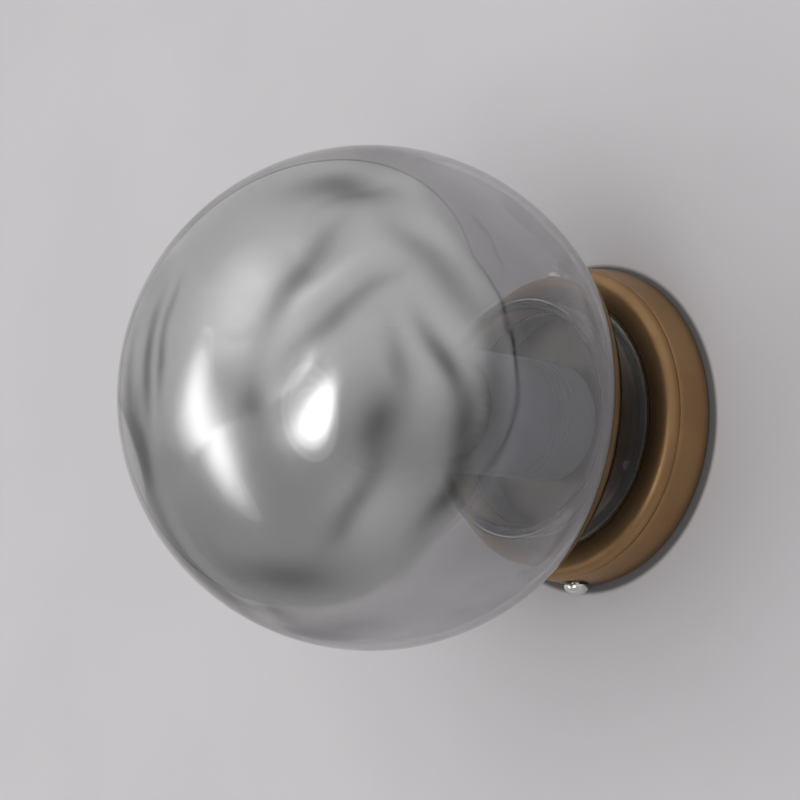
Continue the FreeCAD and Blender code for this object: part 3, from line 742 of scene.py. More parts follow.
@dataclass(frozen=True)
class MirrorPlating:
    """Vapour-laid metal on the glass, dense in front and thin towards the neck, with reflections
    painted into its colour as pale and dark smears.
    """

    name: str = "mirror_plating"
    tint: Colour = (0.62, 0.61, 0.61)
    thin_tint: Colour = (0.33, 0.335, 0.35)
    # Painted highlight: the colour of the pale smears.
    painted_highlight: Colour = (0.97, 0.96, 0.965)
    # Painted reflection: the colour of the dark smears.
    dark: Colour = (0.10, 0.10, 0.105)
    edge: Colour = (0.22, 0.215, 0.215)
    speck: Colour = (0.01, 0.01, 0.01)
    speck_scale: float = 95.0
    speck_size: float = 0.06
    speck_rarity: float = 0.90
    drift_scale: float = 30.0
    drift: float = 0.008
    waver_scale: float = 2.4
    waver: float = 0.12
    centre_reach: float = 94.4
    dense: float = 0.94
    thin: float = 0.22
    dense_from: float = 125.0
    thin_from: float = 99.0
    roughness: float = 0.17
    # Painted reflections: dark smears laid into the plating's colour, standing in for the room's
    # dark reflections in the mirror.
    painted_dark_reflections: tuple[Patch, ...] = (
        Patch((0.57, -0.63, 0.53), (0.42, -0.91, 0.04), 0.055, 0.75),
        Patch((0.74, -0.60, 0.29), (0.56, -0.83, 0.03), 0.040, 0.60),
        Patch((0.86, -0.50, 0.11), (0.92, -0.38, -0.14), 0.036, 0.85),
        Patch((0.92, -0.36, -0.12), (0.86, -0.31, -0.39), 0.070, 1.00),
        Patch((0.96, -0.27, 0.12), (0.92, -0.22, -0.36), 0.060, 0.85),
        Patch((0.88, -0.31, -0.34), (0.70, -0.36, -0.61), 0.048, 0.95),
        Patch((0.72, -0.49, 0.50), (0.94, -0.31, 0.14), 0.070, 0.60),
        Patch((-0.13, -0.96, 0.25), (-0.17, -0.98, -0.12), 0.040, 0.85),
        Patch((-0.02, -0.96, 0.28), (-0.06, -0.99, -0.10), 0.028, 0.70),
        Patch((-0.33, -0.94, 0.14), (-0.30, -0.93, -0.22), 0.035, 0.60),
        Patch((0.05, -0.66, -0.75), (0.38, -0.53, -0.76), 0.10, 0.70),
        Patch((0.30, -0.66, 0.68), (0.60, -0.47, 0.64), 0.10, 0.78),
        Patch((0.79, -0.60, 0.09), (0.82, -0.56, -0.12), 0.040, 0.45),
        Patch((0.79, -0.60, -0.13), (0.71, -0.61, -0.35), 0.070, 0.75),
        Patch((0.71, -0.59, -0.38), (0.48, -0.61, -0.63), 0.045, 0.60),
        Patch((0.38, -0.92, -0.06), (0.40, -0.89, -0.24), 0.060, 0.55),
    )
    # Painted reflections: pale smears laid into the plating's colour, standing in for reflected
    # light and highlights.
    painted_light_reflections: tuple[Patch, ...] = (
        Patch((0.28, -0.86, 0.43), (0.33, -0.92, 0.22), 0.15, 0.22),
        Patch((0.56, -0.56, -0.60), (0.70, -0.56, -0.44), 0.15, 0.80),
        Patch((0.66, -0.66, 0.36), (0.50, -0.85, 0.16), 0.035, 0.50),
    )

    def build(self) -> Material:
        """Make the material."""
        material, wires, shader = new_material(self.name)
        shader.inputs["Metallic"].default_value = 1.0
        shader.inputs["Specular Tint"].default_value = (*self.edge, 1.0)
        place = wires.place()
        cloud = wires.noise(place, self.drift_scale, 3.0)
        drift = wires.maths("MULTIPLY", wires.maths("SUBTRACT", cloud, 0.5), self.drift)
        along = wires.maths("ADD", wires.axes(place)["Y"], drift)
        cover = wires.remap(along, -self.dense_from * MM, -self.thin_from * MM,
                            self.dense, self.thin, smooth=True)
        dot = self.specks(wires, place)
        wires.link(wires.maths("MAXIMUM", cover, dot), shader.inputs["Alpha"])
        ground = wires.mix(wires.remap(along, -self.dense_from * MM, -self.thin_from * MM,
                                       0.0, 1.0, smooth=True), self.tint, self.thin_tint)
        # The plating's colour, with the painted reflections laid in.
        tone = self.with_painted_reflections(wires, place, ground)
        wires.link(wires.mix(dot, tone, self.speck), shader.inputs["Base Color"])
        dull = wires.remap(cover, self.thin, self.dense, self.roughness * 0.2, self.roughness)
        wires.link(dull, shader.inputs["Roughness"])
        return material

    def specks(self, wires: Wiring, place: Socket) -> Socket:
        """Scatter a few small dark specks and give their mask.

        Args:
            wires: The material's wiring.
            place: The piece's own coordinates.

        Returns:
            The mask.
        """
        speck = wires.node("ShaderNodeTexVoronoi")
        speck.inputs["Scale"].default_value = self.speck_scale
        wires.link(place, speck.inputs["Vector"])
        rare = wires.node("ShaderNodeSeparateColor")
        wires.link(speck.outputs["Color"], rare.inputs[0])
        near = wires.maths("LESS_THAN", speck.outputs["Distance"], self.speck_size)
        chosen = wires.maths("GREATER_THAN", rare.outputs["Red"], self.speck_rarity)
        return wires.maths("MULTIPLY", near, chosen)

    def with_painted_reflections(self, wires: Wiring, place: Socket,
                 ground: Socket) -> Socket:
        """Lay the painted reflections, pale and dark smears, over the ground tint.

        Args:
            wires: The material's wiring.
            place: The piece's own coordinates.
            ground: The tint with no smear on it.

        Returns:
            The colour.
        """
        from_middle = wires.vector("SUBTRACT", place, OUT * self.centre_reach * MM)
        direction = wires.vector("NORMALIZE", from_middle)
        waver = wires.node("ShaderNodeTexNoise")
        waver.inputs["Scale"].default_value = self.waver_scale
        waver.inputs["Detail"].default_value = 1.5
        wires.link(direction, waver.inputs["Vector"])
        centred = wires.vector("SUBTRACT", waver.outputs["Color"], Vector((0.5, 0.5, 0.5)))
        shift = wires.vector("MULTIPLY", centred, Vector((1.0, 1.0, 1.0)) * self.waver)
        bent = wires.vector("ADD", direction, shift)
        tone = ground
        # Painted reflections: the pale smears first, then the dark ones.
        for patches, colour in ((self.painted_light_reflections, self.painted_highlight), (self.painted_dark_reflections, self.dark)):
            for patch in patches:
                tone = wires.mix(patch.mask(wires, bent), tone, colour)
        return tone


FINISHES: dict[str, Finish] = {
    finish.name: finish for finish in (
        Finish("brass_paint", (0.36, 0.22, 0.105), (0.27, 0.155, 0.07), metallic=0.85,
               roughness=0.40, mottle_scale=55.0, grain_scale=3600.0, grain=0.5,
               relief=0.000012, dust=0.05),
        Finish("zinc_steel", (0.60, 0.60, 0.58), (0.46, 0.47, 0.50), metallic=1.0,
               roughness=0.34, spread=0.2, mottle_scale=180.0, mottle=0.7, dust=0.1),
        Finish("screw_chrome", (0.80, 0.80, 0.79), (0.66, 0.65, 0.63), metallic=1.0,
               roughness=0.16, mottle_scale=400.0, grain_scale=5000.0, dust=0.15),
        Finish("silicone", (0.74, 0.74, 0.71), (0.66, 0.66, 0.63), roughness=0.55,
               glow_through=0.4, mottle_scale=300.0),
        Finish("holder_mould", (0.50, 0.52, 0.57), (0.43, 0.45, 0.50), roughness=0.38,
               mottle_scale=120.0, grain_scale=2500.0, relief=0.00003),
        Finish("ceramic", (0.84, 0.82, 0.78), (0.74, 0.71, 0.66), roughness=0.55,
               mottle_scale=220.0, relief=0.00005),
        Finish("plated_brass", (0.72, 0.67, 0.58), (0.58, 0.52, 0.43), metallic=1.0,
               roughness=0.25, mottle_scale=200.0),
        Finish("spring_bronze", (0.62, 0.42, 0.22), (0.48, 0.30, 0.15), metallic=1.0,
               roughness=0.32, mottle_scale=250.0),
        Finish("block_mould", (0.83, 0.83, 0.79), (0.74, 0.73, 0.68), roughness=0.45,
               mottle_scale=160.0, relief=0.00004),
        Finish("bare_brass", (0.70, 0.52, 0.25), (0.55, 0.39, 0.17), metallic=1.0,
               roughness=0.30, mottle_scale=300.0),
        Finish("small_screws", (0.66, 0.65, 0.60), (0.52, 0.50, 0.44), metallic=1.0,
               roughness=0.30, mottle_scale=500.0),
        Finish("live_sleeve", (0.20, 0.09, 0.045), (0.15, 0.07, 0.035), roughness=0.42,
               mottle_scale=300.0),
        Finish("neutral_sleeve", (0.045, 0.13, 0.38), (0.035, 0.10, 0.30), roughness=0.42,
               mottle_scale=300.0),
        Finish("cap_glass", (0.022, 0.022, 0.026), (0.035, 0.035, 0.04), roughness=0.12,
               mottle_scale=200.0, coat=0.5),
        Finish("lamp_white", (0.84, 0.84, 0.82), (0.78, 0.78, 0.75), roughness=0.35,
               mottle_scale=90.0, coat=0.2),
        Finish("lamp_opal", (0.90, 0.89, 0.86), (0.86, 0.85, 0.81), roughness=0.30,
               mottle_scale=60.0, glow_through=0.5),
    )
}


@dataclass(frozen=True)
class StripedSleeve:
    """Green insulation with a yellow stripe."""

    name: str = "earth_sleeve"
    green: Colour = (0.06, 0.30, 0.05)
    yellow: Colour = (0.75, 0.62, 0.05)
    stripe_from: float = 3.0
    stripe_full: float = 2.6

    def build(self) -> Material:
        """Make the material."""
        material, wires, shader = new_material(self.name)
        place = wires.place()
        stripe = wires.remap(wires.axes(place)["Y"], -self.stripe_from * MM,
                             -self.stripe_full * MM, 0.0, 1.0, smooth=True)
        worn = wires.remap(wires.noise(place, 500.0, 2.0), 0.3, 0.7, 0.85, 1.0)
        wires.link(wires.mix(wires.maths("MULTIPLY", stripe, worn), self.green, self.yellow),
                   shader.inputs["Base Color"])
        wires.link(wires.remap(worn, 0.85, 1.0, 0.5, 0.38), shader.inputs["Roughness"])
        wires.link(wires.bump(wires.noise(place, 2500.0, 1.0), 0.00002), shader.inputs["Normal"])
        return material


@dataclass(frozen=True)
class BrassLacquer:
    """Satin brass lacquer with painted shade round the neck's opening, standing in for the globe's
    shadow and its dark reflection on the face; sizes in metres.
    """

    name: str = "brass_paint"
    # Painted shade: the tone the face is darkened to near the opening.
    painted_shade: Colour = (0.055, 0.028, 0.012)
    bare: Colour = (0.33, 0.30, 0.27)
    depth: float = 0.85
    bare_inside: float = 0.0385
    bare_fade: float = 0.001
    plain_from: float = 0.0500
    painted_shade_full_at: float = 0.0425

    def build(self) -> Material:
        """Make the material."""
        material = FINISHES[self.name].build()
        wires = Wiring(material.node_tree)
        shader = material.node_tree.nodes["Principled BSDF"]
        tone = shader.inputs["Base Color"].links[0].from_socket
        axes = wires.axes(wires.place())
        flat = wires.node("ShaderNodeCombineXYZ")
        wires.link(axes["X"], flat.inputs["X"])
        wires.link(axes["Z"], flat.inputs["Z"])
        off_axis = wires.length(flat.outputs[0])
        # Painted shade and painted reflection: the lacquer darkens from 50 mm to 42.5 mm off the
        # axis, where the globe shades the face and is mirrored in it.
        painted_shade_mask = wires.remap(off_axis, self.painted_shade_full_at, self.plain_from, self.depth, 0.0,
                              smooth=True)
        cup = wires.remap(off_axis, self.bare_inside - self.bare_fade, self.bare_inside,
                          self.depth, 0.0, smooth=True)
        lacquer_with_painted_shade = wires.mix(painted_shade_mask, tone, self.painted_shade)
        wires.link(wires.mix(cup, lacquer_with_painted_shade, self.bare), shader.inputs["Base Color"])
        return material


class Paints:
    """Gives each finish's material, made once."""

    def __init__(self) -> None:
        """Start with none made."""
        self._made: dict[str, Material] = {}

    def __getitem__(self, name: str) -> Material:
        """Give the material of a finish by its name."""
        if name not in self._made:
            special = {"earth_sleeve": StripedSleeve, "brass_paint": BrassLacquer}
            finish = special[name]() if name in special else FINISHES[name]
            self._made[name] = finish.build()
        return self._made[name]


# ---- the globe ---------------------------------------------------------------------


@dataclass
class Globe:
    """The blown glass ball with its threaded neck, and the plating inside it."""

    radius: float = 75.0
    centre_reach: float = 94.4
    wall: float = 2.4
    neck_radius: float = 38.7
    neck_bore: float = 35.6
    neck_end: float = 9.5
    lip: float = 0.6
    fillet: float = 3.0
    inner_fillet: float = 2.4
    thread_end: float = 18.0
    plating_depth: float = 0.1
    plating_gap: float = 1.5
    wave_height: float = 1.15
    wave_scale: float = 2.1
    bend: float = 0.35
    bend_scale: float = 1.6
    bend_places: tuple[float, ...] = (2.9, 11.7, 23.1)
    fold_share: float = 0.6
    fold_scale: float = 1.5
    still_from: float = 0.6
    thread: Thread = field(default_factory=lambda: Thread(
        pitch=4.0, height=1.3, start_reach=11.0, turns=1.25, foot=1.8, crest=0.8,
        start_turn=30.0))

    @property
    def centre(self) -> Place:
        """The ball's centre as a place in an outline."""
        return 0.0, self.centre_reach

    @property
    def inner(self) -> float:
        """Inside radius of the ball."""
        return self.radius - self.wall

    def outside(self) -> Outline:
        """Outline from the front pole along the outside to the neck's end."""
        off_axis = self.neck_radius + self.fillet
        drop = math.sqrt((self.radius + self.fillet) ** 2 - off_axis ** 2)
        meet = -math.degrees(math.atan2(drop, off_axis))
        corner = (off_axis, self.centre_reach - drop)
        lip_centre = (self.neck_radius - self.lip, self.neck_end + self.lip)
        points = arc(self.centre, self.radius, 90.0, meet, 120)
        points += arc(corner, self.fillet, meet + 180.0, 180.0, 10)[1:]
        for reach, steps in ((self.thread_end, 8), (lip_centre[1], 40)):
            points += run(points[-1], (self.neck_radius, reach), steps)[1:]
        return points + arc(lip_centre, self.lip, 0.0, -90.0, 5)[1:]

    def inside(self) -> Outline:
        """Outline from the neck's end along the inside to the front pole."""
        off_axis = self.neck_bore + self.inner_fillet
        drop = math.sqrt((self.inner + self.inner_fillet) ** 2 - off_axis ** 2)
        meet = -math.degrees(math.atan2(drop, off_axis))
        corner = (off_axis, self.centre_reach - drop)
        lip_centre = (self.neck_bore + self.lip, self.neck_end + self.lip)
        points = arc(lip_centre, self.lip, -90.0, -180.0, 5)
        points += run((self.neck_bore, lip_centre[1]), (self.neck_bore, corner[1]), 10)[1:]
        points += arc(corner, self.inner_fillet, 180.0, meet + 180.0, 8)[1:]
        return points + arc(self.centre, self.inner, meet, 90.0, 120)[1:]

    def glass(self) -> Piece:
        """Blow the glass: one closed wall, with the thread raised on the neck."""
        outline = self.outside() + self.inside()
        bm = spun(outline, closed=False, steps=224)
        cut_thread(bm, self.thread, self.neck_radius, slack=0.02)
        made = piece("globe_glass", bm, sharp=60.0)
        return settle(made, SmokeGlass().build(), Body.GLOBE, "plated_glass", "globe")

    def unevenness(self, direction: Vector) -> float:
        """Give how far the plated face stands out from a true ball, in millimetres.

        Args:
            direction: A place on the ball, as a unit vector from its middle.

        Returns:
            The distance, 0 or more.
        """
        warp = Vector([noise.noise(direction * self.bend_scale + Vector((0.0, place, 7.3)))
                       for place in self.bend_places]) * self.bend
        broad = noise.noise((direction + warp) * self.wave_scale)
        folds = abs(noise.noise((direction + warp * 1.5) * self.fold_scale
                                + Vector((3.1, 0.4, 1.7))))
        return self.wave_height * (0.5 + 0.5 * broad) + self.wave_height * self.fold_share * folds

    def plating(self) -> Piece:
        """Lay the plating as a thin film on the glass's inner face, just within its wall."""
        radius = self.inner + self.plating_depth
        off_axis = self.neck_bore + self.inner_fillet + self.plating_gap
        start = -math.degrees(math.acos(off_axis / radius))
        bm = spun(arc(self.centre, radius, start, 90.0, 200), closed=False, steps=320)
        middle = OUT * self.centre_reach * MM
        for vertex in bm.verts:
            direction = (vertex.co - middle).normalized()
            fade = min(1.0, max(0.0, (-direction.y + self.still_from) / self.still_from))
            vertex.co += direction * self.unevenness(direction) * fade * MM
        made = piece("globe_plating", bm, sharp=180.0)
        return settle(made, MirrorPlating().build(), Body.GLOBE, "plated_glass")


# ---- the dish and what holds it ----------------------------------------------------


@dataclass
class Canopy:
    """The drawn dish, the threaded gallery behind its face and its two screws."""

    back_radius: float = 52.1
    crease_radius: float = 50.8
    crease_reach: float = 12.4
    depth: float = 16.5
    lift: float = 0.8
    sheet: float = 1.0
    crease_depth: float = 0.4
    crease_width: float = 0.5
    opening: float = 41.7
    edge_round: float = 0.3
    bore: float = 40.6
    floor_round: float = 1.0
    back_round: float = 1.2
    floor_front: float = 8.5
    nipple_hole: float = 5.05
    flange: float = 46.0
    screw_reach: float = 6.0
    screw_seat: float = 4.0

    def side_radius(self, reach: float) -> float:
        """The dish's outside radius on its tapered side."""
        taper = (self.crease_radius - self.back_radius) * reach / self.crease_reach
        return self.back_radius + taper

    def dish(self, paints: Paints) -> Piece:
        """Draw the dish: tapered side, crease, rolled edge and flat face."""
        roll_out = self.crease_radius - self.crease_depth
        roll_reach = self.crease_reach + self.crease_width
        roll = self.depth - roll_reach
        centre = (roll_out - roll, roll_reach)
        rim = (self.side_radius(self.lift), self.lift)
        outline = run(rim, (self.crease_radius, self.crease_reach - 0.15), 6)
        outline += [(self.crease_radius - 0.12, self.crease_reach),
                    (roll_out, self.crease_reach + 0.05)]
        outline += arc(centre, roll, 0.0, 90.0, 16)
        edge = self.opening + self.edge_round
        outline += run((centre[0], self.depth), (edge, self.depth), 6)[1:]
        outline += arc((edge, self.depth - self.edge_round), self.edge_round, 90.0, 180.0, 4)[1:]
        outline += [(self.opening, self.depth - self.sheet)]
        outline += arc(centre, roll - self.sheet, 90.0, 0.0, 10)
        outline += [(rim[0] - self.sheet, self.lift)]
        bm = spun(outline, steps=256)
        made = piece("dish_shell", bm, sharp=40.0)
        return settle(made, paints["brass_paint"], Body.FIXTURE, "brass_paint", "dish")

    def gallery(self, paints: Paints) -> Piece:
        """Press the gallery and roll its thread."""
        outer = self.bore + self.sheet
        back = self.floor_front - self.sheet
        flange_front = self.depth - self.sheet
        outline = [(self.nipple_hole, back), (self.nipple_hole, self.floor_front)]
        inside = (self.bore - self.floor_round, self.floor_front + self.floor_round)
        outline += arc(inside, self.floor_round, -90.0, 0.0, 6)
        outline += run((self.bore, inside[1]), (self.bore, self.depth), 44)[1:]
        outline += [(outer, self.depth), (outer, flange_front), (self.flange, flange_front),
                    (self.flange, flange_front - self.sheet), (outer, flange_front - self.sheet),
                    (outer, back + self.back_round)]
        outline += arc((outer - self.back_round, back + self.back_round), self.back_round,
                       0.0, -90.0, 6)[1:]
        bm = spun(outline, steps=224)
        thread = Thread(pitch=4.0, height=1.3, start_reach=12.667, turns=0.65, foot=1.2,
                        crest=0.6, start_turn=0.0)
        cut_thread(bm, thread, self.bore, sign=-1.0, slack=0.02)
        made = piece("gallery_cup", bm, sharp=40.0)
        return settle(made, paints["brass_paint"], Body.FIXTURE, "brass_paint", "gallery")

    def screws(self, paints: Paints) -> Piece:
        """Turn the two pan head screws that go through the dish's side."""
        seat = self.side_radius(self.screw_reach - self.screw_seat)
        parts = []
        for side in (-1.0, 1.0):
            screw = PanScrew().shape()
            parts.append(moved(screw, UP * side, OUT * self.screw_reach + UP * side * seat))
        made = piece("dish_screw_pair", joined(parts), sharp=35.0)
        return settle(made, paints["screw_chrome"], Body.FIXTURE, "screw_chrome", "dish_screws")


def moved(bm: Shape, direction: Vector, place: Vector) -> Shape:
    """Turn a mesh made along the sconce's axis to a direction and move it.

    Args:
        bm: The mesh.
        direction: Where its reach shall point.
        place: Its new origin, in millimetres.

    Returns:
        The same mesh.
    """
    turn = OUT.rotation_difference(direction).to_matrix()
    bmesh.ops.rotate(bm, cent=ORIGIN, matrix=turn, verts=bm.verts)
    bmesh.ops.translate(bm, vec=place * MM, verts=bm.verts)
    return bm


def arc_through(start: Place, middle: Place,
                end: Place, steps: int) -> Outline:
    """Give the points of the arc through three places, both ends included.

    Args:
        start: The first place.
        middle: A place on the way.
        end: The last place.
        steps: How many stretches the arc has.

    Returns:
        The points.
    """
    ax, ay = start
    bx, by = middle
    cx, cy = end
    cross = 2.0 * (ax * (by - cy) + bx * (cy - ay) + cx * (ay - by))
    sa, sb, sc = ax * ax + ay * ay, bx * bx + by * by, cx * cx + cy * cy
    centre = ((sa * (by - cy) + sb * (cy - ay) + sc * (ay - by)) / cross,
              (sa * (cx - bx) + sb * (ax - cx) + sc * (bx - ax)) / cross)
    radius = math.hypot(ax - centre[0], ay - centre[1])
    first = math.degrees(math.atan2(ay - centre[1], ax - centre[0]))
    last = math.degrees(math.atan2(cy - centre[1], cx - centre[0]))
    via = math.degrees(math.atan2(by - centre[1], bx - centre[0]))
    if (last - first) % 360.0 < (via - first) % 360.0:
        swing = (last - first) % 360.0 - 360.0
    else:
        swing = (last - first) % 360.0
    return arc(centre, radius, first, first + swing, steps)


@dataclass
class PanScrew:
    """A pan head screw with a cross recess, its thread cut."""

    diameter: float = 4.0
    length: float = 8.0
    pitch: float = 0.7
    head: float = 8.0
    head_height: float = 3.1
    rim: float = 1.1
    crown: float = 4.8
    crown_drop: float = 0.3
    recess: float = 4.5
    recess_width: float = 0.95
    recess_depth: float = 1.5

    def shape(self) -> Shape:
        """Make the screw along the axis, its seat at reach 0 and its head outwards."""
        thread_height = self.pitch * 0.5
        core = self.diameter / 2.0 - thread_height
        half = self.head / 2.0
        outline = [(0.0, -self.length), (core - 0.4, -self.length)]
        outline += run((core, -self.length + 0.5), (core, 0.0), 60)
        outline += [(half - 0.15, 0.0), (half, 0.15)]
        crown = (self.crown / 2.0, self.head_height - self.crown_drop)
        outline += arc_through((half, self.rim), crown, (0.0, self.head_height), 10)
        bm = spun(outline, closed=False, steps=48)
        thread = Thread(pitch=self.pitch, height=thread_height, start_reach=-self.length + 0.5,
                        turns=(self.length - 1.0) / self.pitch, foot=self.pitch, crest=0.05,
                        run_out=180.0)
        cut_thread(bm, thread, core, slack=0.01)
        screw = piece("screw_blank", bm)
        carve(screw, self.cross())
        shape = bmesh.new()
        shape.from_mesh(screw.data)
        bpy.data.objects.remove(screw)
        return shape

    def cross(self) -> Shape:
        """Make the tapered cross that is pressed into the head."""
        arms = []
        for long_side, short_side in ((self.recess, self.recess_width),
                                      (self.recess_width, self.recess)):
            low = Vector((-long_side / 2.0, -self.head_height - 1.0, -short_side / 2.0))
            high = Vector((long_side / 2.0, -self.head_height + self.recess_depth,
                           short_side / 2.0))
            arm = box(low, high)
            floor = [vertex for vertex in arm.verts if vertex.co.y > high.y * MM - 1e-6]
            bmesh.ops.scale(arm, vec=Vector((0.55, 1.0, 0.55)), verts=floor)
            arms.append(arm)
        whole = piece("cross_blank", arms[0])
        other = piece("cross_other", arms[1])
        unite = whole.modifiers.new("unite", "BOOLEAN")
        unite.operation = "UNION"
        unite.solver = "EXACT"
        unite.object = other
        graph = bpy.context.evaluated_depsgraph_get()
        mesh = bpy.data.meshes.new_from_object(whole.evaluated_get(graph))
        shape = bmesh.new()
        shape.from_mesh(mesh)
        bpy.data.meshes.remove(mesh)
        bpy.data.objects.remove(whole)
        bpy.data.objects.remove(other)
        return shape


# ---- lampholder and lamp -----------------------------------------------------------


def rolled_thread(start_reach: float, turns: float) -> Thread:
    """Give the lamp's thread, rolled in sheet: seven turns to an inch."""
    return Thread(pitch=ROLLED_PITCH, height=1.0, start_reach=start_reach, turns=turns,
                  foot=ROLLED_PITCH, crest=0.0, run_out=120.0)


@dataclass
class Lampholder:
    """The moulded lampholder: cap, ribbed body, rolled screw shell and contact."""

    radius: float = 19.5
    wall: float = 2.0
    foot_radius: float = 12.0
    foot_reach: float = 8.5
    shoulder_reach: float = 15.0
    boss_reach: float = 13.0
    hole: float = 5.05
    split_reach: float = 25.0
    seam: float = 0.3
    front_reach: float = 61.0
    mouth: float = 16.5
    mouth_depth: float = 7.0
    bore: float = 14.5
    insert_front: float = 28.25
    rib_count: int = 4
    rib_pitch: float = 2.4
    rib_depth: float = 0.5
    shell_length: float = 23.0
    shell_inner: float = 12.6
    shell_sheet: float = 0.4

    def cap(self, paints: Paints) -> Piece:
        """Mould the cap that sits on the gallery's floor."""
        inner = self.radius - self.wall
        middle = ((self.foot_radius + self.radius) / 2.0 + 1.0,
                  (self.foot_reach + self.shoulder_reach) / 2.0 - 1.0)
        outline = [(self.hole, self.foot_reach)]
        outline += arc_through((self.foot_radius, self.foot_reach), middle,
                               (self.radius, self.shoulder_reach), 14)
        outline += run((self.radius, self.shoulder_reach),
                       (self.radius, self.split_reach - self.seam), 4)[1:]
        outline += [(self.radius - self.seam, self.split_reach), (inner, self.split_reach),
                    (inner, self.shoulder_reach), (self.foot_radius - self.wall, self.boss_reach),
                    (self.hole, self.boss_reach)]
        made = piece("holder_cap_mould", spun(outline, steps=128), sharp=30.0)
        return settle(made, paints["holder_mould"], Body.FIXTURE, "holder_mould", "holder_cap")

    def body(self, paints: Paints) -> Piece:
        """Mould the ribbed body."""
        inner = self.radius - self.wall
        outline = [(inner, self.split_reach), (self.radius - self.seam, self.split_reach),
                   (self.radius, self.split_reach + self.seam)]
        floor = self.radius - self.rib_depth
        for rib in range(self.rib_count):
            start = self.split_reach + self.rib_pitch * (rib + 1)
            end = start + self.rib_pitch / 2.0
            outline += [(self.radius, start - 0.15), (self.radius - 0.12, start),
                        (floor, start + 0.2), (floor, end - 0.2),
                        (self.radius - 0.12, end), (self.radius, end + 0.15)]
        rim = (self.radius - self.mouth) / 2.0
        outline += arc((self.mouth + rim, self.front_reach - rim), rim, 0.0, 180.0, 14)
        mouth_floor = self.front_reach - self.mouth_depth
        outline += [(self.mouth, mouth_floor), (self.bore, mouth_floor - (self.mouth - self.bore)),
                    (self.bore, self.insert_front), (inner, self.insert_front)]
        made = piece("holder_body_mould", spun(outline, steps=128), sharp=30.0)
        return settle(made, paints["holder_mould"], Body.FIXTURE, "holder_mould", "holder_body")

    def shell(self, paints: Paints) -> Piece:
        """Roll the screw shell."""
        outer = self.shell_inner + self.shell_sheet
        end = self.insert_front + self.shell_length
        outline = run((self.shell_inner, self.insert_front), (self.shell_inner, end), 120)
        outline += run((outer, end), (outer, self.insert_front), 120)
        bm = spun(outline, steps=96)
        thread = rolled_thread(self.insert_front + 1.0, 5.6)
        cut_thread(bm, thread, self.shell_inner, slack=0.01)
        cut_thread(bm, thread, outer, slack=0.01)
        made = piece("holder_screw_shell", bm, sharp=60.0)
        return settle(made, paints["plated_brass"], Body.FIXTURE, "plated_brass", "holder_shell")


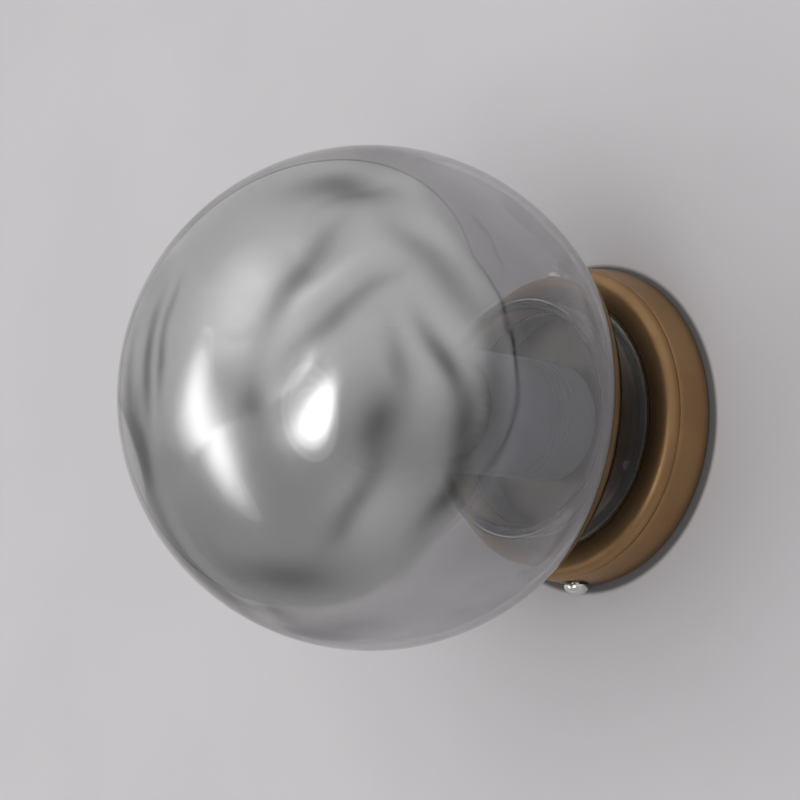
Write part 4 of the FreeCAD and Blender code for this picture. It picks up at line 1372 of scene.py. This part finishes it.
@dataclass
class Lamp:
    """The small ball lamp that the globe surrounds."""

    start_reach: float = 31.45
    contact_radius: float = 4.8
    contact_height: float = 1.0
    insulator_reach: float = 36.45
    insulator_radius: float = 11.0
    cap_root: float = 12.2
    cap_end: float = 54.45
    skirt_radius: float = 13.8
    seam_radius: float = 18.35
    ball_radius: float = 22.5
    ball_reach: float = 86.45
    wall: float = 1.2
    flute_count: int = 28
    flute_depth: float = 0.35

    @property
    def seam_reach(self) -> float:
        """Where the skirt meets the ball."""
        return self.ball_reach - math.sqrt(self.ball_radius ** 2 - self.seam_radius ** 2)

    def foot(self, paints: Paints) -> list[Piece]:
        """Make the centre contact and the black glass round it."""
        back = self.start_reach + self.contact_height
        edge = self.contact_height / 2.0
        outline = [(0.0, self.start_reach), (self.contact_radius - edge, self.start_reach)]
        outline += arc((self.contact_radius - edge, self.start_reach + edge), edge,
                       -90.0, 0.0, 6)[1:]
        outline += [(self.contact_radius, back), (0.0, back)]
        contact = piece("lamp_contact_button", spun(outline, closed=False, steps=64))
        settle(contact, paints["plated_brass"], Body.LAMP_SEAT, "plated_brass", "lamp_contact")
        outline = [(0.0, back)]
        outline += arc_through((self.contact_radius, back), (8.4, back + 1.6),
                               (self.insulator_radius, self.insulator_reach), 10)
        outline += [(0.0, self.insulator_reach)]
        glass = piece("lamp_glass_ring", spun(outline, closed=False, steps=96))
        settle(glass, paints["cap_glass"], Body.LAMP, "cap_glass", "lamp_insulator")
        return [contact, glass]

    def cap(self, paints: Paints) -> Piece:
        """Roll the screw cap."""
        inner = self.cap_root - 0.3
        bend = self.insulator_reach + 1.4
        outline = [(0.0, self.insulator_reach), (self.insulator_radius, self.insulator_reach)]
        outline += run((self.cap_root, bend), (self.cap_root, self.cap_end - 0.4), 110)
        outline += [(self.cap_root + 0.5, self.cap_end - 0.2), (self.cap_root + 0.5, self.cap_end),
                    (inner, self.cap_end), (inner, bend + 0.4),
                    (self.insulator_radius - 0.4, self.insulator_reach + 0.4),
                    (0.0, self.insulator_reach + 0.4)]
        bm = spun(outline, closed=False, steps=96)
        cut_thread(bm, rolled_thread(rolled_start(self.insulator_reach + 1.6), 4.3),
                   self.cap_root, slack=0.01)
        made = piece("lamp_screw_cap", bm, sharp=50.0)
        return settle(made, paints["plated_brass"], Body.LAMP, "plated_brass", "lamp_cap")

    def skirt(self, paints: Paints) -> Piece:
        """Mould the flared housing with its shallow flutes."""
        middle = ((self.skirt_radius + self.seam_radius) / 2.0 - 0.55,
                  (self.cap_end + self.seam_reach) / 2.0)
        outside = arc_through((self.skirt_radius, self.cap_end), middle,
                              (self.seam_radius, self.seam_reach), 24)
        inside = [(radius - self.wall, reach) for radius, reach in reversed(outside[3:])]
        outline = [(0.0, self.cap_end)] + outside + inside + [(0.0, outside[3][1])]
        bm = spun(outline, closed=False, steps=self.flute_count * 8)
        for vertex in bm.verts:
            reach = -vertex.co.y / MM
            share = (reach - self.cap_end) / (self.seam_reach - self.cap_end)
            fade = max(0.0, min(1.0, share * 6.0, (1.0 - share) * 5.0 - 0.3))
            flat = math.hypot(vertex.co.x, vertex.co.z)
            if fade <= 0.0 or flat < self.skirt_radius * MM:
                continue
            turn = math.atan2(vertex.co.z, vertex.co.x)
            dip = self.flute_depth * fade * max(0.0, math.cos(turn * self.flute_count)) ** 2
            vertex.co.x *= 1.0 - dip * MM / flat
            vertex.co.z *= 1.0 - dip * MM / flat
        made = piece("lamp_housing", bm, sharp=40.0)
        return settle(made, paints["lamp_white"], Body.LAMP, "lamp_white", "lamp_skirt")

    def ball(self, paints: Paints) -> Piece:
        """Blow the opal ball."""
        centre = (0.0, self.ball_reach)
        below = self.ball_reach - self.seam_reach
        inner = self.ball_radius - self.wall
        outline = arc(centre, self.ball_radius, 90.0,
                      -math.degrees(math.asin(below / self.ball_radius)), 64)
        outline += arc(centre, inner, -math.degrees(math.asin(below / inner)), 90.0, 48)
        made = piece("lamp_opal_ball", spun(outline, closed=False, steps=128), sharp=40.0)
        return settle(made, paints["lamp_opal"], Body.LAMP, "lamp_opal", "lamp_ball")


def rolled_start(reach: float) -> float:
    """Give the thread start nearest to a reach that is in step with the lampholder's thread."""
    first = Lampholder().insert_front + 1.0
    return first + ROLLED_PITCH * math.ceil((reach - first) / ROLLED_PITCH)


# ---- the stage ---------------------------------------------------------------------


@dataclass(frozen=True)
class Lighting:
    """One rectangular soft lamp, seen from the globe's centre."""

    name: str
    azimuth: float
    elevation: float
    distance: float
    width: float
    height: float
    watts: float
    colour: Colour = (1.0, 1.0, 1.0)


@dataclass
class Studio:
    """The wall panel, the room, the lamps and the camera; sizes in metres."""

    wall_low: Place = (-0.62, -0.85)
    wall_high: Place = (0.31, 0.37)
    wall_colour: Colour = (0.655, 0.632, 0.652)
    wall_deeper: Colour = (0.655 * 0.965, 0.632 * 0.965, 0.652 * 0.965)
    aim: Vector = field(default_factory=lambda: Vector((0.0, -0.0944, 0.0)))
    lamps: tuple[Lighting, ...] = (
        Lighting("strip", -30.0, -13.0, 2.6, 0.62, 2.8, 8.6),
        Lighting("window", 22.0, -14.0, 2.6, 0.86, 1.45, 13.0),
        Lighting("top", -12.0, 32.0, 3.4, 2.8, 2.8, 7.0),
    )
    feather: tuple[float, ...] = (0.45, 0.7, 1.0, 1.35)
    # Painted shade: a dark border round the panel stands in for a shadow line at its edge.
    edge_width: float = 0.022
    edge_shade_colour: Colour = (0.04, 0.04, 0.042)
    hole_radius: float = 0.046
    # Painted shade: a dark ring on the wall just outside the dish's rim stands in for its contact
    # shadow.
    contact_radius: float = 0.0548
    contact_shadow_fade: float = 0.0018
    contact_shadow_depth: float = 0.85
    contact_shadow_middle: Vector = field(default_factory=lambda: Vector((0.0007, 0.0, -0.0007)))
    room_span: Place = (-0.6, 0.4)
    room_low: float = 0.39
    room_high: float = 0.76
    camera_place: Vector = field(default_factory=lambda: Vector((0.46608, -0.50230, -0.09458)))
    camera_azimuth: float = 47.993
    camera_elevation: float = -8.626
    lens: float = 94.5
    sensor: float = 36.0

    @staticmethod
    def towards(azimuth: float, elevation: float) -> Vector:
        """Give the unit vector to a place seen at an azimuth and an elevation in degrees."""
        side, lift = math.radians(azimuth), math.radians(elevation)
        return Vector((math.sin(side) * math.cos(lift), -math.cos(side) * math.cos(lift),
                       math.sin(lift)))

    def wall(self) -> Piece:
        """Put up the wall panel; it has a hole behind the dish and is see-through from behind."""
        bm = bmesh.new()
        bmesh.ops.create_grid(bm, x_segments=1, y_segments=1, size=0.5)
        bmesh.ops.rotate(bm, cent=ORIGIN, matrix=Matrix.Rotation(math.pi / 2.0, 3, "X"),
                         verts=bm.verts)
        width = self.wall_high[0] - self.wall_low[0]
        height = self.wall_high[1] - self.wall_low[1]
        bmesh.ops.scale(bm, vec=Vector((width, 1.0, height)), verts=bm.verts)
        middle = Vector(((self.wall_high[0] + self.wall_low[0]) / 2.0, 0.0,
                         (self.wall_high[1] + self.wall_low[1]) / 2.0))
        bmesh.ops.translate(bm, vec=middle, verts=bm.verts)
        made = piece("wall_panel", bm)
        made.data.materials.append(self.plaster())
        return made

    def plaster(self) -> Material:
        """Make the wall's finish."""
        material, wires, shader = new_material("wall_plaster")
        place = wires.place()
        cloud = wires.remap(wires.noise(place, 9.0, 5.0), 0.35, 0.65, 0.0, 1.0, smooth=True)
        paint = wires.mix(cloud, self.wall_colour, self.wall_deeper)
        # Painted shade: the panel's dark border and the dish's painted contact shadow are mixed
        # into the plaster's colour.
        wires.link(wires.mix(self.shade(wires, place), paint, self.edge_shade_colour),
                   shader.inputs["Base Color"])
        shader.inputs["Roughness"].default_value = 0.75
        wires.link(wires.bump(wires.noise(place, 240.0, 3.0), 0.0001), shader.inputs["Normal"])
        clear = wires.node("ShaderNodeBsdfTransparent")
        back = wires.node("ShaderNodeNewGeometry").outputs["Backfacing"]
        hole = wires.maths("LESS_THAN", wires.length(place), self.hole_radius)
        blend = wires.node("ShaderNodeMixShader")
        wires.link(wires.maths("MAXIMUM", back, hole), blend.inputs[0])
        wires.link(shader.outputs[0], blend.inputs[1])
        wires.link(clear.outputs[0], blend.inputs[2])
        output = material.node_tree.nodes["Material Output"]
        wires.link(blend.outputs[0], output.inputs["Surface"])
        return material

    def shade(self, wires: Wiring, place: Socket) -> Socket:
        """Give the mask of the painted shade: the panel's border painted dark as a shadow line,
        and a dark ring painted on the wall round the dish's rim as its contact shadow in the
        narrow space behind it.

        Args:
            wires: The material's wiring.
            place: The panel's own coordinates.

        Returns:
            The mask.
        """
        axes = wires.axes(place)
        mask = None
        for axis, low, high in (("X", self.wall_low[0], self.wall_high[0]),
                                ("Z", self.wall_low[1], self.wall_high[1])):
            off = wires.maths("ABSOLUTE", wires.maths("SUBTRACT", axes[axis], (low + high) / 2.0),
                              0.0)
            edge = wires.maths("GREATER_THAN", off, (high - low) / 2.0 - self.edge_width)
            mask = edge if mask is None else wires.maths("MAXIMUM", mask, edge)
        # Painted contact shadow: a dark ring just round the dish's rim.
        far = wires.length(wires.vector("SUBTRACT", place, self.contact_shadow_middle))
        contact_shadow = wires.remap(far, self.contact_radius - self.contact_shadow_fade, self.contact_radius,
                          self.contact_shadow_depth, 0.0, smooth=True)
        return wires.maths("MAXIMUM", mask, contact_shadow)

    def light(self) -> None:
        """Hang the lamps, each as nested panels for a soft edge, and set the plain room."""
        for lamp in self.lamps:
            back = self.towards(lamp.azimuth, lamp.elevation)
            area = sum(share ** 2 for share in self.feather)
            for index, share in enumerate(self.feather):
                data = bpy.data.lights.new(lamp.name, "AREA")
                data.shape = "ELLIPSE"
                data.size, data.size_y = lamp.width * share, lamp.height * share
                data.energy, data.color = lamp.watts * share ** 2 / area, lamp.colour
                made = bpy.data.objects.new(f"{lamp.name}_{index}", data)
                bpy.context.scene.collection.objects.link(made)
                made.location = self.aim + back * (lamp.distance + 0.002 * index)
                made.rotation_euler = back.to_track_quat("Z", "Y").to_euler()
                made.visible_camera = False
        world = bpy.data.worlds.new("room")
        world.use_nodes = True
        wires = Wiring(world.node_tree)
        height = wires.axes(wires.node("ShaderNodeTexCoord").outputs["Generated"])["Z"]
        level = wires.remap(height, *self.room_span, self.room_low, self.room_high, smooth=True)
        wires.link(level, world.node_tree.nodes["Background"].inputs[0])
        bpy.context.scene.world = world

    def camera(self) -> Piece:
        """Stand the camera where the picture was taken."""
        data = bpy.data.cameras.new("camera")
        data.lens, data.sensor_width = self.lens, self.sensor
        made = bpy.data.objects.new("camera", data)
        bpy.context.scene.collection.objects.link(made)
        back = self.towards(self.camera_azimuth, self.camera_elevation)
        made.location = self.camera_place
        made.rotation_euler = back.to_track_quat("Z", "Y").to_euler()
        bpy.context.scene.camera = made
        return made


# ---- making it all -----------------------------------------------------------------


def clear_strays() -> None:
    """Remove what a new file holds by itself."""
    for made in list(bpy.data.objects):
        if "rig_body" not in made and not made.name.startswith("body:"):
            bpy.data.objects.remove(made)


def dress_nodes(paints: Paints) -> None:
    """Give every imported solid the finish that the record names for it."""
    for part in frame["record"]["subparts"]:
        node = frame["nodes"][part["node"]]
        slot = part["material_slot"]
        if slot == "plated_glass":
            continue
        node.data.materials.clear()
        node.data.materials.append(paints[slot])


def main() -> None:
    """Build the sconce, piece by piece, and the studio round it."""
    logging.basicConfig(level=logging.INFO, format="%(name)s: %(message)s")
    clear_strays()
    bpy.context.scene.view_settings.view_transform = "Standard"
    paints = Paints()
    dress_nodes(paints)
    globe = Globe()
    globe.glass()
    globe.plating()
    canopy = Canopy()
    canopy.dish(paints)
    canopy.gallery(paints)
    canopy.screws(paints)
    holder = Lampholder()
    holder.cap(paints)
    holder.body(paints)
    holder.shell(paints)
    lamp = Lamp()
    lamp.foot(paints)
    lamp.cap(paints)
    lamp.skirt(paints)
    lamp.ball(paints)
    studio = Studio()
    studio.wall()
    studio.light()
    studio.camera()


if __name__ == "__main__":
    main()
